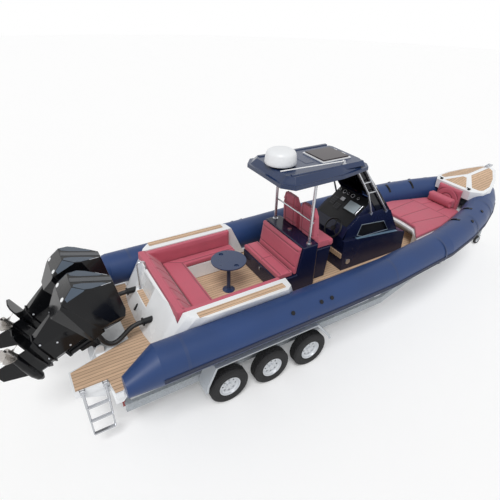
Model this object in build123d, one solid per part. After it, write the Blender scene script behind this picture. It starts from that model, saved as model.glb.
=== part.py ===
from build123d import *
import math
import os

# Rigid inflatable boat with twin outboards, standing on its three-axle road trailer.
# Millimetres, +X to the bow, +Y to port, +Z up, ground at z = 0. While the pieces are made, x = 0
# is the rear trailer axle. The last step moves them so that the origin is under the middle.

# Fits
SEAT_GAP = 0.4  # between pieces that rest on each other
TUBE_SEAT = 1.0  # between the collar and what is moulded round it

# Inflatable collar
TUBE_R = 280
TUBE_Y = 1200  # half the distance between the two side tubes
TUBE_Z = 1349
TUBE_STRAIGHT_END = 3050  # where the bow curve starts
TUBE_BOW_X = 7262  # centreline at the stem
BOW_FULLNESS = 2.123  # superellipse powers of the bow curve
BOW_POINT = 1.463
BOW_ANGLES = (20, 32, 43, 54, 64, 73)  # corners of the mitred bow
SHEER_START = 850
SIDE_END = 1900  # the side tubes are straight up to here
SHEER_RISE = 294
CONE_X = -1050  # the stern cones run aft from here
CONE_END_X = -1500
CONE_END_R = 140
CONE_END_Y = 1318
CONE_END_Z = 1310
STRAKE_HEIGHT_DEG = 10  # the rubbing strake sits this far above the tube's widest line
STRAKE_HALF_DEG = 9
STRAKE_THICK = 9
STRAKE_BACK = 9  # facets of its glued face
RIDGE = 8

# Hull
TRANSOM_X = -1680
KEEL_Z = 580
CHINE_Y = 985
CHINE_Z = 965
CHINE_FLAT = 60
HULL_TUBE_DEG = 40  # the hull's shelf meets the tube this far below its inner side
SPRAY_RAILS = (330, 640)
RAIL_FLAT = 34
WALL = 50  # hull side above the sole
SOLE_Z = 1100  # moulded deck under the planking
TEAK = 20

# Stern platform
PLATFORM_X = -2060
PLATFORM_TOP = 1150
PLATFORM_FRONT = -850
PLATFORM_THICK = 100
WELL_HALF_AFT = 590  # engine well, half width at the platform's rear edge
WELL_HALF_FORE = 500
PLATFORM_HALF = 970
PLATFORM_FRONT_HALF = 985

# Aft cockpit
COAMING_TOP = 1750
COCKPIT_HALF = 870
BACK_FACE_X = -620
SEAT_BASE_TOP = 1400
LOUNGE_SEAT_TOP = 1500
LOUNGE_BACK_TOP = 1790
LOUNGE_INNER_Y = 555
LOUNGE_INNER_X = 120
LOUNGE_FRONT_X = 1080
BACK_THICK = 88
TABLE_X = 630
TABLE_Z = 1700
TABLE_R = 290

# Seat module, helm and console
MODULE_X = 1250
MODULE_FRONT = 2020
MODULE_HALF = 580
MODULE_TOP = 1950
BENCH_Z = 1440
BENCH_TOP = 1545
CONSOLE_X = 2700
CONSOLE_FRONT = 4300
CONSOLE_HALF = 500
CONSOLE_UPPER_HALF = 440
CONSOLE_LEDGE_Z = 1690

# Hard top
TOP_REAR = 1220
TOP_FRONT = 2980
TOP_HALF = 650
TOP_FRONT_HALF = 520
TOP_Z = 3050
TOP_EDGE = 60
TOP_RISE = 90
POST_X = 1860
POST_Y = 500
POST_R = 25
FRAME_R = 17

# Outboard engines: their own frame has x ahead, z up and the tilt axis at its origin
ENGINE_Y = 330
TILT_X = -1600
TILT_Z = 1230
TILT_REST = 66  # raised for the road, measured from the running position
STEER_X = -150
LEG_HALF = 92
PROP_AXIS_Z = -810
PROP_R = 188
PROP_PITCH = 430
PROP_BLADES = 3

# Ladder
LADDER_X = -1822
LADDER_HALF = 142
LADDER_Y = -1010
LADDER_Z = 1175
LADDER_SECTION = 330
LADDER_TUBES = (19, 15.5, 12)

# Trailer
AXLE_PITCH = 768
AXLES = 3
WHEEL_R = 325
TYRE_W = 185
RIM_R = 178
WHEEL_Y = 1154
STUB_R = 18
STUB_REACH = 38  # the stub axle ends this far past the wheel's middle
HUB_LENGTH = 76
HUB_FACE = 58
RAIL_Y = 1000  # outer face of the side rails
RAIL_W = 60
RAIL_Z = 440
RAIL_H = 150
RAIL_REAR = -1500
RAIL_BEND = 3400
COUPLING_X = 8150
BALL_D = 50


def block(x0, x1, y0, y1, z0, z1):
    """Box given by its faces"""
    return Pos((x0 + x1) / 2, (y0 + y1) / 2, (z0 + z1) / 2) * Box(x1 - x0, y1 - y0, z1 - z0)


def plan(points, z0, z1):
    """Prism on an outline in x and y"""
    face = make_face(Polyline(*points, close=True))
    return extrude(Pos(0, 0, z0) * face, amount=z1 - z0, dir=(0, 0, 1))


def side(points, y0, y1):
    """Prism on an outline in x and z, from y0 to y1"""
    plane = Plane((0, y0, 0), x_dir=(1, 0, 0), z_dir=(0, -1, 0))
    return extrude(plane * make_face(Polyline(*points, close=True)), amount=y1 - y0, dir=(0, 1, 0))


def across(points, x0, x1):
    """Prism on an outline in y and z, from x0 to x1"""
    plane = Plane((x0, 0, 0), x_dir=(0, 1, 0), z_dir=(1, 0, 0))
    return extrude(plane * make_face(Polyline(*points, close=True)), amount=x1 - x0, dir=(1, 0, 0))


def rod(start, end, radius):
    """Round bar between two points"""
    start, end = Vector(start), Vector(end)
    return Solid.make_cylinder(radius, (end - start).length, Plane(origin=start, z_dir=end - start))


def bent_tube(points, radius, bends):
    """Round bar along straight runs joined by arcs"""
    path = FilletPolyline(*points, radius=bends)
    return sweep(Plane(origin=path @ 0, z_dir=path % 0) * Circle(radius), path=path)


def bend_radii(points):
    """As large an arc at each corner as its two runs allow"""
    radii = []
    for a, b, c in zip(points, points[1:], points[2:]):
        before = Vector(b) - Vector(a)
        after = Vector(c) - Vector(b)
        turn = math.radians(before.get_angle(after))
        radii.append(0.45 * min(before.length, after.length) / math.tan(turn / 2))
    return radii


def port(shape):
    """The same piece on the port side of one made to starboard, or the other way round"""
    return mirror(shape, about=Plane.XZ)


def pair(shape):
    return [shape, port(shape)]


def mirrored_outline(half):
    """Closed outline from the points of its port half, listed from aft to forward"""
    return half + [(x, -y) for x, y in reversed(half)]


def ruled(outlines, heights):
    """Solid between flat outlines at different heights"""
    wires = [Wire.make_polygon([(x, y, z) for x, y in o]) for o, z in zip(outlines, heights)]
    return Solid.make_loft(wires, ruled=True)


# Shape of the collar's centreline


def tube_y(x):
    """Half beam of the centreline"""
    if x <= TUBE_STRAIGHT_END:
        return TUBE_Y
    sine = ((x - TUBE_STRAIGHT_END) / (TUBE_BOW_X - TUBE_STRAIGHT_END)) ** (BOW_FULLNESS / 2)
    return TUBE_Y * math.sqrt(1 - sine * sine) ** (2 / BOW_POINT)


def tube_z(x):
    """Height of the centreline, rising to the bow"""
    return TUBE_Z + SHEER_RISE * max(0, (x - SHEER_START) / (TUBE_BOW_X - SHEER_START)) ** 2


def bow_x(angle):
    reach = TUBE_BOW_X - TUBE_STRAIGHT_END
    return TUBE_STRAIGHT_END + reach * math.sin(math.radians(angle)) ** (2 / BOW_FULLNESS)


def collar_points():
    """Corners of the collar's centreline from the port cone's end round the bow to the starboard one"""
    stations = [CONE_X, SIDE_END, TUBE_STRAIGHT_END] + [bow_x(a) for a in BOW_ANGLES]
    half = [Vector(CONE_END_X, CONE_END_Y, CONE_END_Z)] + [Vector(x, tube_y(x), tube_z(x)) for x in stations]
    stem = Vector(TUBE_BOW_X, 0, tube_z(TUBE_BOW_X))
    return half + [stem] + [Vector(v.X, -v.Y, v.Z) for v in reversed(half)]


def collar_planes():
    """A cutting plane at each corner, midway between its two runs, and how much wider the cut is than the tube"""
    points = collar_points()
    runs = [(b - a).normalized() for a, b in zip(points, points[1:])]
    square = Vector(1, 0, 0)
    planes = []
    for number, point in enumerate(points):
        if number in (0, 1):
            facing, wider = square, 1
        elif number in (len(points) - 2, len(points) - 1):
            facing, wider = -square, 1
        else:
            facing = (runs[number - 1] + runs[number]).normalized()
            wider = 1 / facing.dot(runs[number])
        planes.append((Plane(point, x_dir=facing.cross(Vector(0, 0, 1)), z_dir=facing), wider))
    return planes


def tube_scale(number):
    """Section size at a corner: the two ends of the collar are drawn in"""
    return CONE_END_R / TUBE_R if number in (0, len(collar_points()) - 1) else 1


def collar_shape(radius):
    """The whole tube as one ruled loft through its mitred sections"""
    wires = []
    for number, (plane, wider) in enumerate(collar_planes()):
        r = radius - TUBE_R + TUBE_R * tube_scale(number)
        wires.append(Wire([Edge.make_ellipse(r * wider, r, plane)]))
    return Solid.make_loft(wires, ruled=True)


def side_tube(y, radius):
    """The straight stretch of one side, as a plain cylinder"""
    return rod((CONE_X, y, TUBE_Z), (SIDE_END, y, tube_z(SIDE_END)), radius)


def make_collar():
    return [collar_shape(TUBE_R)]


def strake_profile():
    """Flat band with two ridges, as angles up from the level and distances from the tube's centre"""
    low, high = STRAKE_HEIGHT_DEG - STRAKE_HALF_DEG, STRAKE_HEIGHT_DEG + STRAKE_HALF_DEG
    inner = TUBE_R + SEAT_GAP
    outer = inner + STRAKE_THICK
    steps = (low, low + 1, low + 3, low + 4.5, low + 6, STRAKE_HEIGHT_DEG)
    heights = (0, 0, RIDGE, RIDGE, 0, 0)
    face = [(angle, outer + lift) for angle, lift in zip(steps, heights)]
    face += [(2 * STRAKE_HEIGHT_DEG - angle, reach) for angle, reach in reversed(face[:-1])]
    back = [(low + step * (high - low) / STRAKE_BACK, inner) for step in range(STRAKE_BACK + 1)]
    return face + list(reversed(back))


def make_rub_strake():
    """Glued band round the widest part of the collar, from one stern cone to the other"""
    wires = []
    for plane, wider in collar_planes()[1:-1]:
        ring = []
        for angle, reach in strake_profile():
            turn = math.radians(angle)
            ring.append(plane.from_local_coords((-reach * math.cos(turn) * wider, reach * math.sin(turn), 0)))
        wires.append(Wire.make_polygon(ring))
    return [Solid.make_loft(wires, ruled=True)]


def sheer_point(x):
    """Where the hull's shelf meets the tube"""
    angle = math.radians(HULL_TUBE_DEG)
    reach = TUBE_R + SEAT_GAP
    return tube_y(x) - reach * math.cos(angle), tube_z(x) - reach * math.sin(angle)


# Keel height, chine half beam and chine height at each station of the hull
HULL_STATIONS = (
    (TRANSOM_X, KEEL_Z, CHINE_Y, CHINE_Z),
    (1500, KEEL_Z, CHINE_Y, CHINE_Z + 10),
    (4000, KEEL_Z + 20, 890, CHINE_Z + 50),
    (5200, KEEL_Z + 125, 700, CHINE_Z + 115),
    (6000, KEEL_Z + 290, 480, CHINE_Z + 200),
    (6600, KEEL_Z + 480, 240, CHINE_Z + 310),
    (7010, KEEL_Z + 690, 60, CHINE_Z + 400),
)


def hull_section(x, keel, chine_y, chine_z):
    """Half of one cross-section, from the keel outwards and up"""
    inner = chine_y * (1 - CHINE_FLAT / CHINE_Y)
    deadrise = (chine_z - 10 - keel) / inner
    points = [(0, keel)]
    for rail in SPRAY_RAILS:
        y = rail * chine_y / CHINE_Y
        flat = RAIL_FLAT * chine_y / CHINE_Y
        points += [(y, keel + deadrise * y), (y + flat, keel + deadrise * y)]
        points += [(y + flat + 1, keel + deadrise * (y + flat + 1))]
    points += [(inner, chine_z - 10), (chine_y, chine_z), sheer_point(x)]
    return points


def pocket_half(x, inset=WALL):
    return sheer_point(x)[0] - inset


def sole_outline(x0, x1, inset):
    """Port half of the cockpit's outline between two stations, inset from the hull's edge"""
    stations = [x0] + [s[0] for s in HULL_STATIONS if x0 < s[0] < x1] + [x1]
    corners = {s[0]: s for s in HULL_STATIONS}
    outline = []
    for x in stations:
        if x in corners:
            outline.append((x, pocket_half(x, inset)))
            continue
        before = max(s[0] for s in HULL_STATIONS if s[0] < x)
        after = min(s[0] for s in HULL_STATIONS if s[0] > x)
        share = (x - before) / (after - before)
        y = pocket_half(before, inset) * (1 - share) + pocket_half(after, inset) * share
        outline.append((x, y))
    return outline


def make_hull():
    """Bottom moulding up to the sole, and the gunwale that carries the collar"""
    wires = []
    for x, *rest in HULL_STATIONS:
        half = hull_section(x, *rest)
        ring = half + [(-y, z) for y, z in reversed(half[1:])]
        wires.append(Wire.make_polygon([(x, y, z) for y, z in ring]))
    hull = Solid.make_loft(wires, ruled=True)
    hull -= plan(mirrored_outline(sole_outline(PLATFORM_FRONT, 6640, WALL)), SOLE_Z, 2000)
    deck = PLATFORM_TOP - PLATFORM_THICK - SEAT_GAP
    hull -= block(TRANSOM_X - 10, PLATFORM_FRONT, -1300, 1300, deck, 2000)
    hull -= collar_shape(TUBE_R + SEAT_GAP)
    bottom = hull & block(-3000, 8000, -1500, 1500, 0, SOLE_Z)
    gunwale = hull & block(-3000, 8000, -1500, 1500, SOLE_Z + SEAT_GAP, 2000)
    return [max(half.solids(), key=lambda s: s.volume) for half in (bottom, gunwale)]


def platform_outline(inset=0):
    """Port half of the stern platform, from the engine well round to the cockpit"""
    clear = inset
    return [
        (TRANSOM_X, WELL_HALF_FORE + clear),
        (PLATFORM_X + clear, WELL_HALF_AFT + clear),
        (PLATFORM_X + clear, PLATFORM_HALF - clear),
        (-1640, PLATFORM_HALF - clear),
        (-1608, 1235 - clear),
        (CONE_END_X - 14, 1235 - clear),
        (-1480, 1190 - clear),
        (-1300, 1100 - clear),
        (CONE_X, 990 - clear),
        (PLATFORM_FRONT, PLATFORM_FRONT_HALF - clear),
    ]


PAD_HALF_AFT = 480  # bare transom pad between the teak panels
PAD_HALF_FORE = 360
PAD_FRONT = -1220
TEAK_MARGIN = 22
GRIP_PAD = (-1400, -1240, 250)  # raised non-slip pad between the engines: aft, forward, half width
GRIP_THICK = 4


def teak_panel(extra=0):
    """Port half of the platform's planking. It narrows the bare pad towards the cockpit"""
    edge = TEAK_MARGIN - extra
    front = PLATFORM_FRONT - edge
    outline = platform_outline(edge)[1:-1] + [(front, PLATFORM_FRONT_HALF - edge)]
    inner = [(front, -PAD_HALF_FORE), (PAD_FRONT + edge, -PAD_HALF_FORE), (PAD_FRONT + edge, PAD_HALF_FORE)]
    return plan(outline + inner + [(TRANSOM_X, PAD_HALF_AFT + edge)], PLATFORM_TOP - TEAK, PLATFORM_TOP)


def make_platform():
    """White moulding with side pods, a bare pad for the engines and a recess for the planking"""
    top = plan(mirrored_outline(platform_outline()), PLATFORM_TOP - PLATFORM_THICK, PLATFORM_TOP)
    recess = teak_panel(SEAT_GAP)
    top -= recess + port(recess)
    pod_x = PLATFORM_X + 60
    pod = side(
        [(pod_x, 1010), (TRANSOM_X, 860), (TRANSOM_X, 1060), (pod_x, 1060)], 620, PLATFORM_HALF - 20
    )
    wing = side(
        [(-1636, 1050), (-1626, 930), (-1530, 930), (-1440, 1050)], CHINE_Y + 4, 1200
    )
    for piece in (pod, wing):
        top += piece + port(piece)
    grip = block(GRIP_PAD[0], GRIP_PAD[1], -GRIP_PAD[2], GRIP_PAD[2], PLATFORM_TOP - 1, PLATFORM_TOP + GRIP_THICK)
    return [top + grip]


def make_teak_decking():
    """Planked panels let into the sole, the platform, the steps and the coaming"""
    stern = teak_panel()
    outline = mirrored_outline(sole_outline(PLATFORM_FRONT + 2, BOW_LOCKER_END, WALL + 6))
    sole = plan(outline, SOLE_Z + SEAT_GAP, SOLE_Z + TEAK)
    strip = block(-370, 1020, 968, 1072, COAMING_TOP + SEAT_GAP, COAMING_TOP + 12)
    tread = block(*STERN_TREAD, STERN_STEP_Z + SEAT_GAP, STERN_STEP_Z + 12)
    footrest = side([(2684.8, 1385), (2679.5, 1480), (2658, 1480), (2662, 1385)], -475, 475)
    bow = [panel & step_roof(0) for panel in step_panels()]
    return [stern + port(stern), sole, tread, footrest] + pair(strip) + bow


SOLE_TOP = SOLE_Z + TEAK + SEAT_GAP
COAMING_FOOT = PLATFORM_TOP + SEAT_GAP


STERN_STEP_Z = 1420
STERN_NICHE = [(-1100, STERN_STEP_Z), (-735, STERN_STEP_Z), (-672, 1690), (-672, 1800), (-1100, 1800)]
STERN_NICHE_Y = 110
STERN_NICHE_HALF = 260
STERN_TREAD = (-832, -742, -130, 305)
HOOP = (-765, 345, 1905)  # foot of the grab hoop on the stern step, and its height
HOOP_R = 12
HOOP_FORWARD_X = -637


def make_coaming():
    """Moulded surround of the aft cockpit: it leans forward at the stern and laps over the tubes"""
    top = [(-665, 1), (-650, 450), (-570, 800), (-490, 950), (-390, 1050), (-260, 1110)]
    top += [(1030, 1130), (1120, 1060), (1150, COCKPIT_HALF - 20)]
    foot = [(-1000, 1), (-985, 400), (-935, 760), (-890, 850), (-830, 895), (-600, 900)]
    foot += [(1330, 900), (1410, 885), (1430, COCKPIT_HALF - 20)]
    body = ruled([mirrored_outline(foot), mirrored_outline(top)], [COAMING_FOOT, COAMING_TOP])
    body -= block(BACK_FACE_X, 2000, -COCKPIT_HALF, COCKPIT_HALF, 1000, 2000)
    for y in (-TUBE_Y, TUBE_Y):
        body -= side_tube(y, TUBE_R + TUBE_SEAT)
    return [body - side(STERN_NICHE, -STERN_NICHE_HALF + STERN_NICHE_Y, STERN_NICHE_HALF + STERN_NICHE_Y)]


def make_lounge_base():
    inner = block(LOUNGE_INNER_X, 2000, -LOUNGE_INNER_Y, LOUNGE_INNER_Y, 1000, 2000)
    reach = COCKPIT_HALF - 2
    base = block(BACK_FACE_X + 2, LOUNGE_FRONT_X + 20, -reach, reach, SOLE_TOP, SEAT_BASE_TOP)
    return [base - inner]


def make_lounge_seat():
    back = COCKPIT_HALF - BACK_THICK - 4
    seat = block(-262, LOUNGE_FRONT_X, -back, back, SEAT_BASE_TOP + SEAT_GAP, LOUNGE_SEAT_TOP)
    seat -= block(LOUNGE_INNER_X - 12, 2000, -LOUNGE_INNER_Y + 12, LOUNGE_INNER_Y - 12, 1000, 2000)
    return [seat]


def make_lounge_back():
    low = SEAT_BASE_TOP + SEAT_GAP
    reach = COCKPIT_HALF - 1
    x = BACK_FACE_X + 1
    slope = [(x, low), (-265, low), (-265, 1500), (-500, LOUNGE_BACK_TOP), (x, LOUNGE_BACK_TOP)]
    aft = side(slope, -reach, reach)
    arm = block(-500, LOUNGE_FRONT_X, reach - BACK_THICK, reach, low, LOUNGE_BACK_TOP - 25)
    return [aft + arm + port(arm)]


def make_table():
    """Round top with two cup holders on one pedestal"""
    top = Pos(TABLE_X, 0, TABLE_Z) * Cylinder(TABLE_R, 28, align=(Align.CENTER, Align.CENTER, Align.MIN))
    top = chamfer(top.edges().filter_by(GeomType.CIRCLE).group_by(Axis.Z)[0], 12)
    for angle in (100, 280):
        spot = (TABLE_X + 205 * math.cos(math.radians(angle)), 205 * math.sin(math.radians(angle)))
        top -= Pos(*spot, TABLE_Z + 28) * Cylinder(38, 36)
    foot_z = SOLE_TOP
    profile = [(0, foot_z), (105, foot_z), (105, foot_z + 8), (45, foot_z + 30), (32, foot_z + 60)]
    profile += [(32, TABLE_Z - 70), (90, TABLE_Z - 10), (90, TABLE_Z), (0, TABLE_Z)]
    plane = Plane((TABLE_X, 0, 0), x_dir=(1, 0, 0), z_dir=(0, -1, 0))
    leg = revolve(plane * make_face(Polyline(*profile, close=True)), Axis((TABLE_X, 0, 0), (0, 0, 1)))
    return [top + leg]


def make_seat_module():
    """Moulded block with an aft-facing bench and a raised top, and the helm seats' pedestal"""
    low = SOLE_TOP
    outline = [
        (MODULE_X, low),
        (MODULE_X - 5, BENCH_Z),
        (1620, BENCH_Z),
        (1700, MODULE_TOP),
        (MODULE_FRONT, MODULE_TOP),
        (MODULE_FRONT, low),
    ]
    body = side(outline, -MODULE_HALF, MODULE_HALF)
    body = chamfer(body.edges().filter_by(Axis.Z).group_by(Axis.X)[-1], 30)
    pedestal = side([(MODULE_FRONT - 5, low), (MODULE_FRONT - 5, 1740), (2400, 1740), (2330, low)], -470, 470)
    return [body + pedestal]


def make_bench_cushions():
    low = BENCH_Z + SEAT_GAP
    half = MODULE_HALF - 6
    seat = side([(MODULE_X - 20, low), (MODULE_X - 20, BENCH_TOP), (1545, BENCH_TOP), (1545, low)], -half, half)
    lean = 80 / (MODULE_TOP - BENCH_Z)
    back_low = 1620 - 2
    back = side(
        [
            (back_low - 70, low),
            (back_low - 70 + lean * 520, MODULE_TOP + 10),
            (back_low + lean * 510, MODULE_TOP + 10),
            (back_low, low),
        ],
        -half,
        half,
    )
    return [seat, back]


HELM_SEAT_W = 440
HELM_SEAT_Y = 245


def make_helm_seats():
    """Two forward-facing seats with tall backs"""
    seats = []
    low = 1740 + SEAT_GAP
    for y in (-HELM_SEAT_Y, HELM_SEAT_Y):
        a, b = y - HELM_SEAT_W / 2, y + HELM_SEAT_W / 2
        cushion = side([(2030, low), (2030, 1880), (2440, 1870), (2460, 1780), (2420, low)], a, b)
        back_side = side([(2022, 1880), (1985, 1960), (1960, 2520), (2040, 2530), (2130, 1880)], a, b)
        crown = [(a, 1700), (a, 2380), (a + 70, 2540), (b - 70, 2540), (b, 2380), (b, 1700)]
        back = back_side & across(crown, 1900, 2500)
        back -= block(1900, MODULE_FRONT + 1, a - 10, b + 10, 1700, MODULE_TOP + SEAT_GAP)
        seats.append(cushion + back)
    return seats


def make_console():
    """Helm console: wide lower body with a ledge, narrower upper body with a raked dash"""
    low = SOLE_TOP
    lower = side(
        [(CONSOLE_X, low), (2665, CONSOLE_LEDGE_Z + 60), (4075, CONSOLE_LEDGE_Z - 90), (4270, 1540), (CONSOLE_FRONT, low)],
        -CONSOLE_HALF,
        CONSOLE_HALF,
    )
    upper = side(
        [(2665, 1600), (2660, 1800), (2760, 1950), (3010, 2150), (3640, 2170), (3790, 2090), (4120, 1560), (4100, 1500)],
        -CONSOLE_UPPER_HALF,
        CONSOLE_UPPER_HALF,
    )
    foot, brow = on_dash(0, DASH_LOW).origin, on_dash(0, DASH_HIGH).origin
    hump = side(
        [(foot.X, foot.Z), (brow.X, brow.Z), (brow.X + 50, brow.Z + 6), (3620, 2180), (3620, 2100), (2900, 1950)],
        -DASH_HALF,
        DASH_HALF,
    )
    recess = side([(3020, 1760), (3090, 1960), (3660, 1900), (3820, 1680), (3160, 1700)], -460, -405)
    body = lower + upper + hump - recess - port(recess)
    return [body]


DASH_SLOPE = math.degrees(math.atan2(200, 250))
DASH_LOW = -150  # ends of the instrument panel, along its slope
DASH_HIGH = 505
DASH_HALF = 400
DASH_SCREENS = (  # across, up the slope, width, height, thickness
    (185, 225, 310, 224, 26),
    (-122, 276, 110, 84, 18),
    (-270, 180, 130, 200, 12),
    (-120, 110, 150, 150, 12),
)
DASH_GAUGES = ((-330, 26), (-205, 40), (-109, 26), (11, 40), (150, 26))  # across, radius
GAUGE_ROW = 416


def on_dash(x, y):
    """Place on the raked dash: x to starboard, y up the slope"""
    angle = math.radians(DASH_SLOPE)
    ahead = 2885 + math.cos(angle) * y
    up = 2050 + math.sin(angle) * y
    return Plane((ahead, -x, up), x_dir=(0, -1, 0), z_dir=(-math.sin(angle), 0, math.cos(angle)))


def make_dash():
    """Instrument panel: a large screen, a small one, a row of gauges and switch banks"""
    low = (Align.CENTER, Align.CENTER, Align.MIN)
    middle = (DASH_LOW + DASH_HIGH) / 2
    panel = on_dash(0, middle).offset(SEAT_GAP) * Box(2 * DASH_HALF - 20, DASH_HIGH - DASH_LOW - 20, 8, align=low)
    for x, y, w, h, t in DASH_SCREENS:
        panel += on_dash(x, y).offset(SEAT_GAP) * Box(w, h, t, align=low)
    for x, r in DASH_GAUGES:
        panel += on_dash(x, GAUGE_ROW).offset(SEAT_GAP) * Cylinder(r, 20, align=low)
    return [panel]


WHEEL_CENTRE = (2600, -230, 1930)
WHEEL_RAKE = 32  # the steering wheel's axis points up by this much
HELM_RIM_R = 175


def helm_plane(back=0):
    rake = math.radians(WHEEL_RAKE)
    out = Vector(-math.cos(rake), 0, math.sin(rake))
    return Plane(Vector(WHEEL_CENTRE) - out * back, x_dir=(0, -1, 0), z_dir=out)


def make_steering_wheel():
    """Rim, three spokes and hub"""
    rim = helm_plane() * Torus(HELM_RIM_R, 15)
    hub = helm_plane(38) * Cylinder(38, 46, align=(Align.CENTER, Align.CENTER, Align.MIN))
    wheel = rim + hub
    for angle in (90, 210, 330):
        turn = math.radians(angle)
        reach = helm_plane()
        tip = reach.from_local_coords((HELM_RIM_R * math.cos(turn), HELM_RIM_R * math.sin(turn), 0))
        root = reach.from_local_coords((20 * math.cos(turn), 20 * math.sin(turn), -14))
        wheel += rod(root, tip, 9)
    return [wheel]


SCREEN_THICK = 8
SCREEN_HALF = 420
SCREEN_LOW_X = 3850  # where its front would meet the level below
SCREEN_LOW_Z = 2085
SCREEN_HIGH_X = 2985


def screen_outline(x, back, z, inset):
    """Plan of the windscreen at one height, open at the back"""
    half = SCREEN_HALF - inset
    front = x - inset
    corner = front - 60
    outline = [(back, half), (corner, half), (front, half - 80), (front, -half + 80), (corner, -half), (back, -half)]
    return [(px, py, z) for px, py in outline]


def make_windscreen():
    """Tinted wrap between the console and the hard top"""
    wires = []
    for z, x, back in ((SCREEN_LOW_Z, SCREEN_LOW_X, 3480), (TOP_Z - SEAT_GAP, SCREEN_HIGH_X, 2700)):
        inner = screen_outline(x, back, z, SCREEN_THICK)
        inner[0] = (back, SCREEN_HALF - SCREEN_THICK, z)
        inner[-1] = (back, SCREEN_THICK - SCREEN_HALF, z)
        wires.append(Wire.make_polygon(screen_outline(x, back, z, 0) + list(reversed(inner))))
    screen = Solid.make_loft(wires, ruled=True) - Pos(0, 0, SEAT_GAP) * make_console()[0]
    return [max(screen.solids(), key=lambda s: s.volume)]


def top_outline(inset):
    return mirrored_outline(
        [
            (TOP_REAR + inset, 470 - inset / 2),
            (TOP_REAR + 150 + inset / 2, TOP_HALF - inset),
            (2300, TOP_HALF - 30 - inset),
            (TOP_FRONT - 90 - inset / 2, TOP_FRONT_HALF - inset),
            (TOP_FRONT - inset, TOP_FRONT_HALF - 130 - inset / 2),
        ]
    )


def make_hard_top():
    """Thin roof with a raised plateau and a ridge along each side"""
    slab = plan(top_outline(0), TOP_Z, TOP_Z + TOP_EDGE)
    plateau = ruled([top_outline(40), top_outline(130)], [TOP_Z + TOP_EDGE - 5, TOP_Z + TOP_EDGE + TOP_RISE])
    foot = RIDGE_Z - 65
    ridge = across([(395, foot), (425, RIDGE_Z), (475, RIDGE_Z), (520, foot)], 1420, 2800)
    roof = slab + plateau + ridge + port(ridge)
    roof -= block(HATCH[0] - 2, HATCH[1] + 2, -HATCH[2] - 2, HATCH[2] + 2, TOP_Z - 10, ROOF_Z + 100)
    x0, x1, half = ROOF_PAD
    return [roof + block(x0, x1, -half, half, ROOF_Z - 1, ROOF_Z + ROOF_PAD_THICK)]


HATCH = (2182, 2698, 238)  # rear, front, half width
ROOF_Z = TOP_Z + TOP_EDGE + TOP_RISE
RIDGE_Z = ROOF_Z + 15
ROOF_PAD = (1910, 2070, 150)  # raised pad for a lamp or aerial: rear, front, half width
ROOF_PAD_THICK = 4


def make_hatch_frame():
    x0, x1, half = HATCH
    ring = block(x0, x1, -half, half, TOP_Z + 10, ROOF_Z + 18)
    ring += block(x0 - 30, x1 + 30, -half - 30, half + 30, ROOF_Z + SEAT_GAP, ROOF_Z + 18)
    ring -= block(x0 + 25, x1 - 25, -half + 25, half - 25, TOP_Z, ROOF_Z + 50)
    knuckles = rod((x1 + 12, -140, ROOF_Z + 30), (x1 + 12, -60, ROOF_Z + 30), 9)
    knuckles += block(x1 + 3, x1 + 21, -140, -60, ROOF_Z + 10, ROOF_Z + 30)
    pin = rod((x1 + 12, -140, ROOF_Z + 30), (x1 + 12, 140, ROOF_Z + 30), 4)
    return [ring + knuckles + port(knuckles) + pin]


def make_hatch_lid():
    x0, x1, half = HATCH
    low = ROOF_Z + 18 + SEAT_GAP
    lid = block(x0, x1 - 2, -half, half, low, low + 22)
    tongue = rod((x1 + 12, -54, ROOF_Z + 30), (x1 + 12, 54, ROOF_Z + 30), 9)
    tongue += block(x1 - 8, x1 + 12, -54, 54, low + 4, low + 20)
    tongue -= rod((x1 + 12, -200, ROOF_Z + 30), (x1 + 12, 200, ROOF_Z + 30), 4.6)
    return [lid + tongue]


RADAR_X = 1530


def make_radar_dome():
    low = ROOF_Z + SEAT_GAP
    profile = [(0, low), (170, low), (170, low + 35), (285, low + 50), (300, low + 80), (300, low + 150)]
    profile += [(270, low + 205), (200, low + 240), (0, low + 252)]
    plane = Plane((RADAR_X, 0, 0), x_dir=(1, 0, 0), z_dir=(0, -1, 0))
    return [revolve(plane * make_face(Polyline(*profile, close=True)), Axis((RADAR_X, 0, 0), (0, 0, 1)))]


ANTENNA_PIVOT = (2400, -450, RIDGE_Z + 47)
ANTENNA_LENGTH = 1180


def make_antenna_mount():
    """Ratchet base on the roof's starboard ridge"""
    x, y, z = ANTENNA_PIVOT
    low = RIDGE_Z + SEAT_GAP
    foot = block(x - 30, x + 40, y - 22, y + 22, low, low + 12)
    ears = block(x - 14, x + 20, y - 20, y - 12, low, z + 14) + block(x - 14, x + 20, y + 12, y + 20, low, z + 14)
    pin = rod((x, y - 20, z), (x, y + 20, z), 4)
    return [foot + ears + pin]


def make_antenna_rod():
    x, y, z = ANTENNA_PIVOT
    eye = rod((x, y - 11, z), (x, y + 11, z), 14)
    whip = rod((x - 8, y, z), (x - ANTENNA_LENGTH, y, z + 42), 9)
    return [eye + whip - rod((x, y - 30, z), (x, y + 30, z), 4.6)]


def make_top_posts():
    """Stainless posts behind the helm seats, with the rail between them"""
    post = rod((POST_X, POST_Y, MODULE_TOP + SEAT_GAP), (POST_X, POST_Y, TOP_Z - SEAT_GAP), POST_R)
    flange = rod((POST_X, POST_Y, MODULE_TOP + SEAT_GAP), (POST_X, POST_Y, MODULE_TOP + 14), 48)
    rail = rod((POST_X + 40, -POST_Y, 2330), (POST_X + 40, POST_Y, 2330), 14)
    stub = rod((POST_X, POST_Y, 2330), (POST_X + 40, POST_Y, 2330), 14)
    half = post + flange + stub
    return [half + port(half) + rail]


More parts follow.
